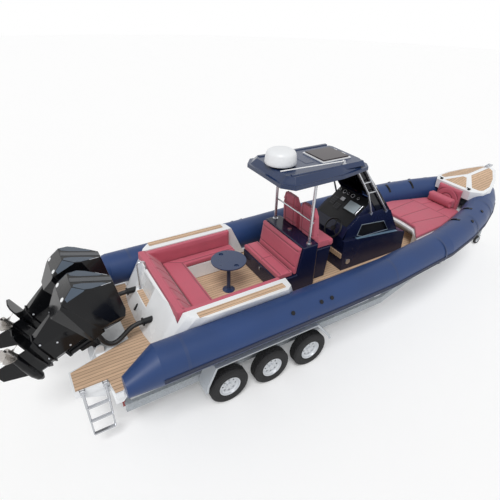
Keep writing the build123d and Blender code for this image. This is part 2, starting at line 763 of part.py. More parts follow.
def make_top_frames():
    """Two stainless tubes and two rungs each side, from the hard top down to the console"""
    y = CONSOLE_UPPER_HALF + FRAME_R + 4
    roof = TOP_Z - FRAME_R - SEAT_GAP
    rear = bent_tube(
        [(POST_X + 140, y + 25, roof), (2720, y + 25, roof), (3090, y, 2560), (3250, y, 2165)], FRAME_R, [120, 400]
    )
    front = bent_tube([(2890, y + 10, roof + FRAME_R), (3120, y + 10, 2760), (3640, y, 2120)], FRAME_R, [300])
    rungs = rod((2905, y + 15, 2800), (3085, y + 8, 2800), 12) + rod((3065, y + 5, 2590), (3255, y + 5, 2590), 12)
    feet = rod((3250, y - FRAME_R - 3.6, 2160), (3250, y + 10, 2160), 30)
    feet += rod((3640, y - FRAME_R - 3.6, 2115), (3640, y + 10, 2115), 30)
    half = rear + front + rungs + feet - block(1500, 4000, 0, 900, TOP_Z - SEAT_GAP, TOP_Z + 200)
    return [half, port(half)]


def bow_outline(x0, x1, inset, skew=0):
    """Port half of the bow deck, following the inside of the tubes"""
    wide = TUBE_R + inset
    stations = [x0] + [s[0] for s in HULL_STATIONS if x0 + 50 < s[0] < x1 - 50] + [x1]
    outline = []
    for i, x in enumerate(stations):
        y = sole_outline(x - 1, x, 0)[-1][1] + sheer_inset() - wide
        outline.append((x - skew if i == 0 else x, y))
    return outline


def sheer_inset():
    """From the hull's edge out to the tube's centreline"""
    return (TUBE_R + SEAT_GAP) * math.cos(math.radians(HULL_TUBE_DEG))


BOW_DECK_Z = 1440
BOW_AFT_X = 4640
BOW_LOCKER_END = 4960  # the sole runs in under the foredeck up to here
BOW_LOCKER_HALF = 500


def make_bow_base():
    """Raised foredeck moulding with a leaning aft face and a locker recess"""
    half = [(BOW_AFT_X, 100), (BOW_AFT_X - 40, 430)] + bow_outline(BOW_AFT_X, 6600, 8, skew=300)
    body = plan(mirrored_outline(half), SOLE_TOP, BOW_DECK_Z)
    recess = block(BOW_AFT_X - 400, BOW_LOCKER_END, -BOW_LOCKER_HALF, BOW_LOCKER_HALF, SOLE_TOP - 10, BOW_DECK_Z - 60)
    return [body - recess - collar_shape(TUBE_R + TUBE_SEAT)]


def make_bow_sunpad():
    outline = bow_outline(BOW_AFT_X + 30, 6120, 40, skew=340)
    half = [(BOW_AFT_X + 40, 100), (BOW_AFT_X, 430)] + outline
    return [plan(mirrored_outline(half), BOW_DECK_Z + SEAT_GAP, BOW_DECK_Z + 80)]


def make_bow_backrest():
    """Backrest in front of the bow step, and the loose box pillow"""
    low = BOW_DECK_Z + SEAT_GAP
    back = side([(6130, low), (6175, 1925), (6245, 1925), (6245, low)], -300, 300)
    pillow = block(5930, 6118, -260, 330, BOW_DECK_Z + 80 + SEAT_GAP, 1730)
    pillow = chamfer(pillow.edges().filter_by(Axis.Y), 30)
    return [back, pillow]


STEP_OUTLINE = [(6255, 420), (6500, 585), (6800, 560), (7150, 400), (7430, 190), (7610, 60)]
STEP_SIDE = [(6250, 1740), (6250, 2300), (7398, 2300), (7610, 1790), (7000, 1760)]
STEP_AFT = (6250, 1930)  # lower edge of the aft slope
STEP_PEAK = (6700, 2090)  # the aft slope meets the two side slopes here
STEP_NOSE = (7440, 2170)  # front end of the ridge between the side slopes
STEP_FALL = 0.262  # how steeply the side slopes fall away from the ridge
STEP_TEAK_AFT = [(6318, 270), (6612, 42), (6612, -42), (6318, -270)]
STEP_TEAK_SIDE = [
    (6410, 345), (6480, 480), (6570, 520), (6800, 497), (7110, 352), (7370, 150), (7385, 45), (6765, 45)
]
STEP_TEAK = 12


def step_roof(drop):
    """Everything under the bow step's three slopes, lowered by drop"""
    aft_rise = (STEP_PEAK[1] - STEP_AFT[1]) / (STEP_PEAK[0] - STEP_AFT[0])
    ridge_rise = (STEP_NOSE[1] - STEP_PEAK[1]) / (STEP_NOSE[0] - STEP_PEAK[0])
    wires = []
    for x in (6200, 7700):
        ridge = STEP_PEAK[1] + ridge_rise * (x - STEP_PEAK[0]) - drop
        eaves = ridge - STEP_FALL * 700
        wires.append(Wire.make_polygon([(x, -700, 1500), (x, -700, eaves), (x, 0, ridge), (x, 700, eaves), (x, 700, 1500)]))
    tent = Solid.make_loft(wires, ruled=True)
    slope = [(x, STEP_AFT[1] + aft_rise * (x - STEP_AFT[0]) - drop) for x in (6200, 7700)]
    return tent & side(slope + [(7700, 1500), (6200, 1500)], -700, 700)


def step_panel(outline, extra=0):
    """One of the planked panels let into the bow step"""
    face = offset(make_face(Polyline(*outline, close=True)), extra, kind=Kind.INTERSECTION) if extra else make_face(
        Polyline(*outline, close=True)
    )
    prism = extrude(Pos(0, 0, 1700) * face, amount=800, dir=(0, 0, 1))
    return prism - step_roof(STEP_TEAK + extra)


def step_panels(extra=0):
    side_panel = step_panel(STEP_TEAK_SIDE, extra)
    return [step_panel(STEP_TEAK_AFT, extra), side_panel, port(side_panel)]


def make_bow_step():
    """White moulded nose over the bow of the collar: an aft slope and two side slopes off a ridge"""
    body = plan(mirrored_outline(STEP_OUTLINE), 1700, 2300) & step_roof(0)
    body &= side(STEP_SIDE, -700, 700)
    for panel in step_panels(SEAT_GAP):
        body -= panel
    body -= collar_shape(TUBE_R + TUBE_SEAT)
    return [max(body.solids(), key=lambda s: s.volume)]


VALVE_STATIONS = (930, 1450, 1650)
BOW_VALVES = (5445, 5940)
BOW_HANDLES = (5250, 5840)
VALVE_R = 32
VALVE_HEIGHT_DEG = 42
BOW_VALVE_TILT = 31  # degrees outboard of the tube's top
BOW_HANDLE_TILT = -28
HANDLE_LENGTH = 228
CLEAT_SPOT = (6310, 345)
HOSE_FLANGE = (-975, -395, 1400)


def tube_frame(x, tilt):
    """Place on the port bow tube: x along it, z straight out of it, tilt degrees outboard of its top"""
    centre = Vector(x, tube_y(x), tube_z(x))
    along = (Vector(x + 5, tube_y(x + 5), tube_z(x + 5)) - Vector(x - 5, tube_y(x - 5), tube_z(x - 5))).normalized()
    outboard = Vector(0, 0, 1).cross(along).normalized()
    turn = math.radians(tilt)
    out = along.cross(outboard) * math.cos(turn) + outboard * math.sin(turn)
    return Plane(centre, x_dir=along, z_dir=out)


def make_tube_fittings():
    """Air valves and grab handles round the bow, each following the collar's face"""
    pieces = []
    for x in BOW_VALVES:
        frame = tube_frame(x, BOW_VALVE_TILT)
        pieces.append(frame.offset(TUBE_R) * Cylinder(VALVE_R, 24))
    for x in BOW_HANDLES:
        frame = tube_frame(x, BOW_HANDLE_TILT)
        along = frame.x_dir
        for half, radius, length in ((26, TUBE_R + 9, HANDLE_LENGTH), (10, TUBE_R + 24, HANDLE_LENGTH / 2)):
            band = rod(frame.origin - along * half, frame.origin + along * half, radius)
            band &= frame.offset(TUBE_R) * Box(100, length, 120)
            pieces.append(band)
    skin = collar_shape(TUBE_R + TUBE_SEAT)
    joined = Compound([solid for piece in pieces for solid in piece.solids()])
    trimmed = [(piece - skin).solids().sort_by(Axis.Z)[-1] for piece in joined.solids()]
    valves, bands = trimmed[: len(BOW_VALVES)], trimmed[len(BOW_VALVES) :]
    handles = [plate + grip for plate, grip in zip(bands[::2], bands[1::2])]
    return [shape for piece in valves + handles for shape in pair(piece)]


def make_cleat():
    """Horned cleat on the aft slope of the bow step"""
    x, y = CLEAT_SPOT
    rise = (STEP_PEAK[1] - STEP_AFT[1]) / (STEP_PEAK[0] - STEP_AFT[0])
    origin = (x, y, STEP_AFT[1] + rise * (x - STEP_AFT[0]))
    frame = Plane(origin, x_dir=(0, 1, 0), z_dir=Vector(-rise, 0, 1).normalized()).offset(SEAT_GAP)
    low = (Align.CENTER, Align.CENTER, Align.MIN)
    cleat = frame * Cylinder(30, 12, align=low) + frame.offset(6) * Cylinder(12, 28, align=low)
    return cleat + frame.offset(30) * Rot(Y=90) * Cylinder(8, 96)


def make_deck_fittings():
    """Air valves, grab handles, cleats, and the flanges where the engine hoses leave the coaming"""
    angle = math.radians(VALVE_HEIGHT_DEG)
    out = Vector(0, -math.cos(angle), math.sin(angle))
    pieces = []
    for x in VALVE_STATIONS:
        share = (x - CONE_X) / (SIDE_END - CONE_X)
        centre = Vector(x, -TUBE_Y, TUBE_Z + share * (tube_z(SIDE_END) - TUBE_Z))
        valve = rod(centre + out * (TUBE_R - 10), centre + out * (TUBE_R + 12), VALVE_R)
        valve -= side_tube(-TUBE_Y, TUBE_R + TUBE_SEAT)
        pieces += pair(valve)
    x, y, z = HOSE_FLANGE
    flange = rod((x, y, z), (x + 22, y, z), 62) + rod((x + 20, y, z), (x + 260, y, z), 46)
    flange -= make_coaming()[0]
    flange = flange.solids().sort_by(Axis.X)[0]
    vent = side([(-947.8, 1240), (-892.4, 1340), (-913, 1331), (-968, 1251)], 85, 115)
    return pieces + pair(flange) + make_tube_fittings() + pair(make_cleat()) + [vent]


def make_stainless_fittings():
    """Grab hoop at the stern step, rail beside the dash, bow roller, speakers and small hardware"""
    x, y, top = HOOP
    hoop = bent_tube(
        [(x, y, STERN_STEP_Z + SEAT_GAP), (x, y, top), (HOOP_FORWARD_X, y, top), (HOOP_FORWARD_X, y, COAMING_TOP + SEAT_GAP)],
        HOOP_R,
        [55, 55],
    )
    hoop += rod((x, y, STERN_STEP_Z + SEAT_GAP), (x, y, STERN_STEP_Z + 10), 22)
    across_dash = DASH_HALF - 28
    feet = [on_dash(across_dash, along).offset(8 + 2 * SEAT_GAP) for along in (120, 335)]
    rail = bent_tube([feet[0].origin, feet[0].offset(44).origin, feet[1].offset(44).origin, feet[1].origin], 9, [20, 20])
    cheek = side([(7330, 2130), (7330, 2188), (7480, 2222), (7524, 2205), (7510, 2150)], 29, 36)
    roller = cheek + port(cheek) + rod((7490, -30, 2190), (7490, 30, 2190), 20)
    roller += side([(7332, 2140), (7332, 2170), (7470, 2184), (7470, 2150)], -30, 30)
    roller = (roller - step_roof(-SEAT_GAP)).solids().sort_by(SortBy.VOLUME)[-1]
    speaker = rod((2833, -CONSOLE_HALF - SEAT_GAP, 1291), (2833, -CONSOLE_HALF - 12, 1291), 52)
    socket = rod((1857, 44, MODULE_TOP + SEAT_GAP), (1857, 44, MODULE_TOP + 14), 36)
    latch = block(1230, 1244.6, -11, 11, 1330, 1398) + rod((1234, 0, 1364), (1224, 0, 1364), 14)
    return [hoop, rail, roller, socket, latch] + pair(speaker)


def cowl_profile():
    """Side outline of the engine cover, from its lower front corner round over the top"""
    return [(-285, 245), (-205, 500), (-340, 612), (-780, 715), (-1115, 325), (-1030, 110)]


def make_cowl():
    """Faceted engine cover: side outline, tapered ends and chamfered shoulders"""
    body = side(cowl_profile(), -262, 262)
    body &= plan(
        mirrored_outline([(-1130, 150), (-1020, 235), (-700, 262), (-380, 245), (-230, 150), (-190, 90)]), 0, 900
    )
    shoulders = [(-262, 0), (-262, 300), (-215, 500), (-95, 690), (-80, 800), (80, 800), (95, 690), (215, 500)]
    shoulders += [(262, 300), (262, 0)]
    body &= across(shoulders, -1200, 0)
    return body


def make_lower_pan():
    """Lower engine cover between the split line and the midsection"""
    outline = [(-300, 240), (-1020, 105), (-860, -130), (-620, -60), (-290, 20)]
    body = side(outline, -230, 230)
    body &= across([(-100, -140), (-228, 60), (-228, 260), (228, 260), (228, 60), (100, -140)], -1200, 0)
    return body


def streamlined(x0, x1, half, z0, z1):
    """Upright fairing with a rounded nose and a fine tail"""
    length = x1 - x0
    return plan(
        mirrored_outline([(x0, half * 0.25), (x0 + length * 0.45, half), (x1 - half * 0.8, half), (x1, half * 0.4)]),
        z0,
        z1,
    )


def make_leg():
    """Midsection, anti-ventilation plate, gearcase and skeg, with the yokes of the steering axis"""
    pan = make_lower_pan()
    mid = streamlined(-870, -225, LEG_HALF, -620, 40)
    mid &= side([(-225, 40), (-860, 40), (-855, -140), (-690, -520), (-640, -620), (-150, -620), (-225, -330)], -200, 200)
    strut = streamlined(-612, -190, 42, -810, -590)
    plate = plan(mirrored_outline([(-945, 60), (-900, 120), (-560, 150), (-260, 110), (-175, 40)]), -602, -584)
    splash = plan(mirrored_outline([(-720, 60), (-600, 125), (-330, 125), (-215, 60)]), -505, -490)
    torpedo = [(-60, 0), (-75, 28), (-130, 58), (-230, 76), (-420, 78), (-600, 62), (-618, 58), (-618, 0)]
    face = make_face(Polyline(*[(x, PROP_AXIS_Z + r) for x, r in torpedo], close=True))
    plane = Plane((0, 0, 0), x_dir=(1, 0, 0), z_dir=(0, -1, 0))
    bullet = revolve(plane * face, Axis((0, 0, PROP_AXIS_Z), (1, 0, 0)))
    skeg = side([(-230, -860), (-400, -1130), (-600, -1130), (-590, -860)], -8, 8)
    leg = pan + mid + strut + plate + splash + bullet + skeg
    for z0, z1 in ((8, 40), (-360, -328)):
        leg += block(-240, STEER_X, -44, 44, z0, z1) + Pos(STEER_X, 0, (z0 + z1) / 2) * Cylinder(44, z1 - z0)
    leg += rod((STEER_X, 0, -340), (STEER_X, 0, 20), 15)
    leg += rod((-600, 0, PROP_AXIS_Z), (-790, 0, PROP_AXIS_Z), 13)
    return leg


SWIVEL_R = 36


def make_swivel():
    """Swivel bracket: it turns on the tilt tube and carries the steering axis"""
    tube = rod((STEER_X, 0, -320), (STEER_X, 0, 0), SWIVEL_R)
    tilt = rod((0, -88, 0), (0, 88, 0), 30)
    arm = side(
        [(22, 18), (22, -22), (-40, -60), (-88, -70), (-104, -200), (STEER_X, -200), (STEER_X, -10)], -60, 60
    )
    body = tube + tilt + arm
    body -= rod((STEER_X, 0, -330), (STEER_X, 0, 10), 15.6)
    body -= rod((0, -100, 0), (0, 100, 0), 13.6)
    return body


def make_clamps():
    """Clamp brackets hooked over the transom, with the tilt tube between them"""
    outline = [
        (-1555, PLATFORM_TOP + SEAT_GAP),
        (-1555, 1260),
        (-1590, 1285),
        (-1640, 1270),
        (-1750, 1080),
        (-1750, 780),
        (TRANSOM_X - 4, 760),
        (TRANSOM_X - 4, PLATFORM_TOP + SEAT_GAP),
    ]
    pieces = []
    for y in (-ENGINE_Y, ENGINE_Y):
        plates = side(outline, y - 118, y - 90) + side(outline, y + 90, y + 118)
        pieces.append(plates + rod((TILT_X, y - 118, TILT_Z), (TILT_X, y + 118, TILT_Z), 13))
    return pieces


def make_propeller():
    """Hub with three raked blades whose pitch angle falls towards the tip"""
    x0, x1 = -772, -619
    hub = [(x0, 15), (x0, 44), (x1, 56), (x1, 15)]
    face = make_face(Polyline(*[(x, PROP_AXIS_Z + r) for x, r in hub], close=True))
    plane = Plane((0, 0, 0), x_dir=(1, 0, 0), z_dir=(0, -1, 0))
    propeller = revolve(plane * face, Axis((0, 0, PROP_AXIS_Z), (1, 0, 0)))
    middle = (x0 + x1) / 2
    sections = ((40, 96, 9, 0), (95, 150, 7, 6), (145, 160, 5, 14), (PROP_R, 84, 3, 26))
    wires = []
    for radius, chord, thick, rake in sections:
        pitch = math.atan2(PROP_PITCH, 2 * math.pi * radius)
        outline = [(-chord / 2, 0), (0, thick / 2), (chord / 2, 0), (0, -thick / 2)]
        ring = []
        for along, over in outline:
            x = middle - rake + along * math.sin(pitch) + over * math.cos(pitch)
            y = along * math.cos(pitch) - over * math.sin(pitch)
            ring.append((x, y, PROP_AXIS_Z + radius))
        wires.append(Wire.make_polygon(ring))
    blade = Solid.make_loft(wires, ruled=True)
    axis = Axis((0, 0, PROP_AXIS_Z), (1, 0, 0))
    for number in range(PROP_BLADES):
        propeller += blade.rotate(axis, 90 + number * 360 / PROP_BLADES)
    propeller -= rod((-900, 0, PROP_AXIS_Z), (-500, 0, PROP_AXIS_Z), 13.4)
    return propeller


def on_engine(shape, y):
    return Pos(TILT_X, y, TILT_Z) * Rot(Y=TILT_REST) * shape


def ladder_rails(y, z0, z1, radius, bore):
    """One section's pair of rails with its tread across the lower ends"""
    pieces = None
    for x in (LADDER_X - LADDER_HALF, LADDER_X + LADDER_HALF):
        rail = rod((x, y, z0), (x, y, z1), radius)
        if bore:
            rail -= rod((x, y, z0 - 60), (x, y, z1 - 12), bore)
        pieces = rail if pieces is None else pieces + rail
    return pieces


LADDER_OVERLAP = 60


def make_ladder(number):
    """One telescoping section of the ladder, hanging from the hinge on the platform's side"""
    radius = LADDER_TUBES[number]
    bore = LADDER_TUBES[number + 1] + 0.6 if number + 1 < len(LADDER_TUBES) else 0
    top = LADDER_Z - 8 - number * (LADDER_SECTION - LADDER_OVERLAP)
    bottom = LADDER_Z - 8 - (number + 1) * LADDER_SECTION + number * LADDER_OVERLAP
    section = ladder_rails(LADDER_Y, bottom, top, radius, bore)
    tread = block(LADDER_X - LADDER_HALF, LADDER_X + LADDER_HALF, LADDER_Y - 24, LADDER_Y + 16, bottom, bottom + 24)
    for x in (LADDER_X - LADDER_HALF, LADDER_X + LADDER_HALF):
        if bore:
            tread -= rod((x, LADDER_Y, bottom - 60), (x, LADDER_Y, bottom + 60), bore)
    section += tread
    if number == 0:
        for x in (LADDER_X - LADDER_HALF, LADDER_X + LADDER_HALF):
            section += rod((x - 22, LADDER_Y, LADDER_Z), (x + 22, LADDER_Y, LADDER_Z), 17)
            section -= rod((x - 40, LADDER_Y, LADDER_Z), (x + 40, LADDER_Y, LADDER_Z), 5.6)
    return [section]


def make_ladder_brackets():
    """Two eared brackets with hinge pins, screwed to the platform's starboard side"""
    pieces = []
    seat = -PLATFORM_HALF - SEAT_GAP
    for x in (LADDER_X - LADDER_HALF, LADDER_X + LADDER_HALF):
        ears = block(x - 34, x - 26, LADDER_Y - 14, seat, LADDER_Z - 40, LADDER_Z + 14)
        ears += block(x + 26, x + 34, LADDER_Y - 14, seat, LADDER_Z - 40, LADDER_Z + 14)
        back = block(x - 34, x + 34, seat - 8, seat, LADDER_Z - 90, LADDER_Z - 28)
        pieces.append(ears + back + rod((x - 34, LADDER_Y, LADDER_Z), (x + 34, LADDER_Y, LADDER_Z), 5))
    return pieces


HOSE_R = 34
HOSE_POINTS = (
    (-975.4, -395, 1400),
    (-1062, -395, 1400),
    (-1150, -400, 1371),
    (-1236, -410, 1312),
    (-1318, -420, 1250),
    (-1400, -426, 1222),
    (-1478, -424, 1240),
    (-1530, -414, 1300),
    (-1566, -403, 1388),
    (-1595, -396, 1464),
    (-1626, -393, 1535),
)


def make_hose():
    points = [Vector(*p) for p in HOSE_POINTS]
    return bent_tube(points, HOSE_R, bend_radii(HOSE_POINTS))


def wheel_at(number, hand):
    """Tyre and pressed steel rim, on the outside of the trailer's side rails"""
    half = TYRE_W / 2
    tyre_profile = [(RIM_R + 1, -62), (RIM_R + 1, -74), (200, -86), (255, -half), (295, -half + 3), (315, -76)]
    tyre_profile += [(WHEEL_R, -62)]
    tyre_profile += [(r, -z) for r, z in reversed(tyre_profile)]
    plane = Plane((0, 0, 0), x_dir=(1, 0, 0), z_dir=(0, -1, 0))
    tyre = revolve(plane * make_face(Polyline(*tyre_profile, close=True)), Axis.Z)
    for z in (-36, -12, 12, 36):
        tyre -= Pos(0, 0, z) * (Cylinder(WHEEL_R + 5, 7) - Cylinder(WHEEL_R - 8, 7))
    rim_profile = [(0, 20), (60, 20), (75, 34), (130, 30), (150, 12), (150, -66), (RIM_R - 14, -72), (189, -84)]
    rim_profile += [(189, -76), (RIM_R, -74), (RIM_R, -60), (160, -50), (160, 50), (RIM_R, 60), (RIM_R, 74)]
    rim_profile += [(189, 76), (189, 84), (RIM_R - 14, 78), (158, 60), (140, 42), (75, 44), (60, 32), (0, 32)]
    rim = revolve(plane * make_face(Polyline(*rim_profile, close=True)), Axis.Z)
    for hole in range(8):
        rim -= Rot(Z=hole * 45) * Pos(108, 0, 36) * Cylinder(15, 60)
    rim += Pos(0, 0, HUB_FACE - HUB_LENGTH / 2) * Cylinder(40, HUB_LENGTH)
    rim -= rod((0, 0, -WHEEL_R), (0, 0, STUB_REACH + 0.5), STUB_R + 0.5)
    turned = Rot(X=-90 * hand) * Compound([*tyre.solids(), *rim.solids()])
    return [Pos(number * AXLE_PITCH, hand * WHEEL_Y, WHEEL_R) * turned]


def make_axles():
    """Rubber-sprung axles: tube under the rails, trailing arms and hub stubs"""
    pieces = []
    for number in range(AXLES):
        x = number * AXLE_PITCH
        tube = block(x + 110, x + 180, -RAIL_Y - 4, RAIL_Y + 4, RAIL_Z - 80, RAIL_Z - SEAT_GAP)
        arm = side([(x - 40, 292), (x - 40, 358), (x + 60, 400), (x + 180, 425), (x + 180, 350), (x + 60, 320)], 1004, 1030)
        stub = rod((x, 1010, WHEEL_R), (x, WHEEL_Y + STUB_REACH, WHEEL_R), STUB_R)
        drum = rod((x, 1029, WHEEL_R), (x, WHEEL_Y - 34, WHEEL_R), 100)
        half = arm + stub + drum
        pieces.append(tube + half + port(half))
    return pieces


def make_trailer_frame():
    """Side rails, drawbar arms that meet at the coupling, and crossmembers, each a member of its own"""
    inner = RAIL_Y - RAIL_W
    top = RAIL_Z + RAIL_H
    rail = block(RAIL_REAR, RAIL_BEND, inner, RAIL_Y, RAIL_Z, top)
    rail -= block(RAIL_REAR - 10, RAIL_BEND, inner - 10, RAIL_Y - 8, RAIL_Z + 10, top - 10)
    outline = [(RAIL_BEND, inner), (RAIL_BEND, RAIL_Y), (DRAWBAR_END, 70), (DRAWBAR_END, 0), (DRAWBAR_END - 260, 0)]
    members = pair(rail) + pair(plan(outline, RAIL_Z, top))
    for x in CROSSMEMBERS:
        reach = inner + 30
        if x > RAIL_BEND:
            reach = RAIL_Y - 30 - (RAIL_Y - 70) * (x + 40 - RAIL_BEND) / (DRAWBAR_END - RAIL_BEND)
        member = block(x - 40, x + 40, -reach, reach, CROSS_TOP - 80, CROSS_TOP)
        for rail in members[:4]:
            member -= rail
        members.append(member)
    members.append(block(DRAWBAR_END, COUPLING_X - 90, -50, 50, RAIL_Z + 20, RAIL_Z + 120))
    return members


DRAWBAR_END = COUPLING_X - 250
CROSSMEMBERS = (-1440, -420, 420, 1150, 2100, 3340, 4600, 5900)
CROSS_TOP = 488


def make_fenders():
    """One long folded mudguard each side, on brackets from the rail"""
    front = (AXLES - 1) * AXLE_PITCH
    outer = [(-415, 430), (-400, 570), (-250, 900), (front + 70, 900), (front + 350, 560), (front + 410, 430)]
    inner = [(-409, 430), (-394, 567), (-246, 894), (front + 68, 894), (front + 345, 557), (front + 404, 430)]
    guard = side(outer, 1016, 1275) - side(inner, 1016, 1275)
    lip = side(outer, 1269, 1275) - side([(x * 0.97 + 23, z - 24) for x, z in outer], 1269, 1275)
    web = side(outer[1:-1], 1016, 1022)
    guard += web + (lip & block(-500, 2200, 1000, 1300, 450, 1000))
    for x in (-200, front / 2, front + 200):
        guard += block(x - 35, x + 35, RAIL_Y + SEAT_GAP, 1022, 470, 640)
    return pair(guard)


def keel_height(x):
    for a, b in zip(HULL_STATIONS, HULL_STATIONS[1:]):
        if a[0] <= x <= b[0]:
            return a[1] + (b[1] - a[1]) * (x - a[0]) / (b[0] - a[0])
    return HULL_STATIONS[0][1]


KEEL_ROLLER_R = 40
BUNK_Y = (455, 600)
BUNK_THICK = 42
BUNK_FRONT = 1190


def make_keel_rollers():
    """Rollers under the keel, each in its fork on a crossmember"""
    pieces = []
    for x in CROSSMEMBERS[:7]:
        centre = keel_height(x) - KEEL_ROLLER_R - SEAT_GAP
        top = CROSS_TOP + SEAT_GAP
        roller = rod((x, -70, centre), (x, 70, centre), KEEL_ROLLER_R) - rod((x, -80, centre), (x, 80, centre), 9)
        fork = block(x - 30, x + 30, 71, 79, top, centre + 14)
        fork += port(fork) + block(x - 30, x + 30, -79, 79, top, top + 6) - rod((x, -70, centre), (x, 70, centre), 43)
        fork += rod((x, -79, centre), (x, 79, centre), 8.5)
        pieces += [roller, fork]
    return pieces


def make_bunks():
    """Padded bearers under the hull's bottom, on posts from the crossmembers"""
    x0, keel, chine_y, chine_z = HULL_STATIONS[0]
    slope = (chine_z - 10 - keel) / (chine_y - CHINE_FLAT)
    a, b = BUNK_Y
    top = [(y, keel + slope * y - SEAT_GAP) for y in (a, b)]
    board = across(top + [(y, z - BUNK_THICK) for y, z in reversed(top)], CROSSMEMBERS[0] - 50, BUNK_FRONT)
    y = (a + b) / 2
    for x in CROSSMEMBERS[:4]:
        board += block(x - 30, x + 30, y - 20, y + 20, CROSS_TOP + SEAT_GAP, keel + slope * y - BUNK_THICK)
    return pair(board)


JACK = (7960, -96)
JOCKEY_R = 110
JOCKEY_TRAIL = 36


def make_drawbar_gear():
    """Ball coupling, parking jack and winch post with its bow stop"""
    low = RAIL_Z + 20
    head = block(COUPLING_X - 150, COUPLING_X + 45, -42, 42, low + 4, low + 86)
    head = chamfer(head.edges().filter_by(Axis.Z).group_by(Axis.X)[-1], 22)
    head += block(COUPLING_X - 150, COUPLING_X - 90 + 0.1, -38, 38, low + 80, low + 118)
    head += side([(COUPLING_X - 130, low + 100), (COUPLING_X - 60, low + 125), (COUPLING_X + 60, low + 150),
                  (COUPLING_X + 60, low + 138), (COUPLING_X - 60, low + 80)], -14, 14)
    socket = Pos(COUPLING_X, 0, low - 5) * Cylinder(BALL_D / 2 + 0.4, 45, align=(Align.CENTER, Align.CENTER, Align.MIN))
    head -= socket + Pos(COUPLING_X, 0, low + 40) * Sphere(BALL_D / 2 + 0.4)
    head -= block(COUPLING_X - 160, COUPLING_X - 90 + SEAT_GAP, -52, 52, low - 1, low + 100.4)
    x, y = JACK
    mast = rod((x, y, 260), (x, y, 830), 30) + rod((x, y, 830), (x, y, 850), 36)
    mast += rod((x, y, 228), (x, y, 270), 24)
    mast += block(x - 34, x + 34, y + 20, -50 - SEAT_GAP, low + 20, low + 90)
    mast += rod((x, y, 845), (x, y, 870), 8) + rod((x - 4, y, 866), (x + 120, y, 866), 7) + rod((x + 116, y, 862), (x + 116, y, 930), 12)
    centre = x - JOCKEY_TRAIL
    for step in (-38, 32):
        mast += side([(centre - 16, JOCKEY_R - 16), (centre + 16, JOCKEY_R - 16), (x + 28, 232), (x - 28, 232)], y + step, y + step + 6)
    mast += block(x - 30, x + 30, y - 38, y + 38, 226, 236)
    mast += rod((centre, y - 38, JOCKEY_R), (centre, y + 38, JOCKEY_R), 8)
    deck = RAIL_Z + RAIL_H + SEAT_GAP
    post = block(7290, 7410, -165, 165, deck, deck + 10)
    post += side([(7310, deck + 5), (7395, deck + 5), (7150, 1215), (7066, 1215)], -36, 36)
    post += rod((7300, -75, 900), (7300, 75, 900), 44) + rod((7300, 75, 900), (7300, 92, 900), 70)
    post += rod((7300, 90, 900), (7300, 110, 900), 10) + side([(7290, 900), (7310, 900), (7480, 800), (7470, 786)], 104, 112)
    stop = block(7014, 7080, -80, 80, 1205, 1300) - side([(7000, 1150), (7000, 1270), (7014, 1270), (7010, 1150)], -200, 200)
    return [head, mast, post + stop]


def make_jockey_wheel():
    x, y = JACK
    centre = x - JOCKEY_TRAIL
    wheel = rod((centre, y - 27, JOCKEY_R), (centre, y + 27, JOCKEY_R), JOCKEY_R)
    wheel = chamfer(wheel.edges().filter_by(GeomType.CIRCLE), 8)
    return [wheel - rod((centre, y - 60, JOCKEY_R), (centre, y + 60, JOCKEY_R), 8.6)]


def make_trailer_lights():
    lamp = block(-1520, CROSSMEMBERS[0] - 40 - SEAT_GAP, 640, 880, 432, 520)
    marker = block(200, 290, RAIL_Y + SEAT_GAP, RAIL_Y + 14, 545, 575)
    return pair(lamp) + pair(marker)


def build():
    nodes = {
        "hull": make_hull(),
        "collar": make_collar(),
        "rub_strake": make_rub_strake(),
        "platform": make_platform(),
        "teak_decking": make_teak_decking(),
        "coaming": make_coaming(),
        "lounge_base": make_lounge_base(),
        "lounge_seat": make_lounge_seat(),
        "lounge_back": make_lounge_back(),
        "table": make_table(),
        "seat_module": make_seat_module(),
        "bench_cushions": make_bench_cushions(),
        "helm_seats": make_helm_seats(),
        "console": make_console(),
        "dash": make_dash(),
        "steering_wheel": make_steering_wheel(),
        "windscreen": make_windscreen(),
        "hard_top": make_hard_top(),
        "hatch_frame": make_hatch_frame(),
        "hatch_lid": make_hatch_lid(),
        "radar_dome": make_radar_dome(),
        "antenna_mount": make_antenna_mount(),
        "antenna_rod": make_antenna_rod(),
        "top_posts": make_top_posts(),
        "top_frames": make_top_frames(),
        "bow_base": make_bow_base(),
        "bow_sunpad": make_bow_sunpad(),
        "bow_backrest": make_bow_backrest(),
        "bow_step": make_bow_step(),
        "deck_fittings": make_deck_fittings(),
        "stainless_fittings": make_stainless_fittings(),
        "engine_clamps": make_clamps(),
        "ladder_brackets": make_ladder_brackets(),
        "axles": make_axles(),
        "trailer_frame": make_trailer_frame(),
        "fenders": make_fenders(),
        "boat_supports": make_keel_rollers() + make_bunks(),
        "drawbar_gear": make_drawbar_gear(),
        "jockey_wheel": make_jockey_wheel(),
        "trailer_lights": make_trailer_lights(),
    }
    for hand, name in ((-1, "starboard"), (1, "port")):
        y = hand * ENGINE_Y
        nodes[f"cowl_{name}"] = [on_engine(make_cowl(), y)]
        nodes[f"leg_{name}"] = [on_engine(make_leg(), y)]
        nodes[f"swivel_{name}"] = [on_engine(make_swivel(), y)]
        nodes[f"propeller_{name}"] = [on_engine(make_propeller(), y)]
        for number in range(AXLES):
            nodes[f"wheel_{number + 1}_{name}"] = wheel_at(number, hand)
    nodes["hose_starboard"] = [make_hose()]
    nodes["hose_port"] = [port(make_hose())]
    for number, name in enumerate(("upper", "middle", "lower")):
        nodes[f"ladder_{name}"] = make_ladder(number)
    return nodes


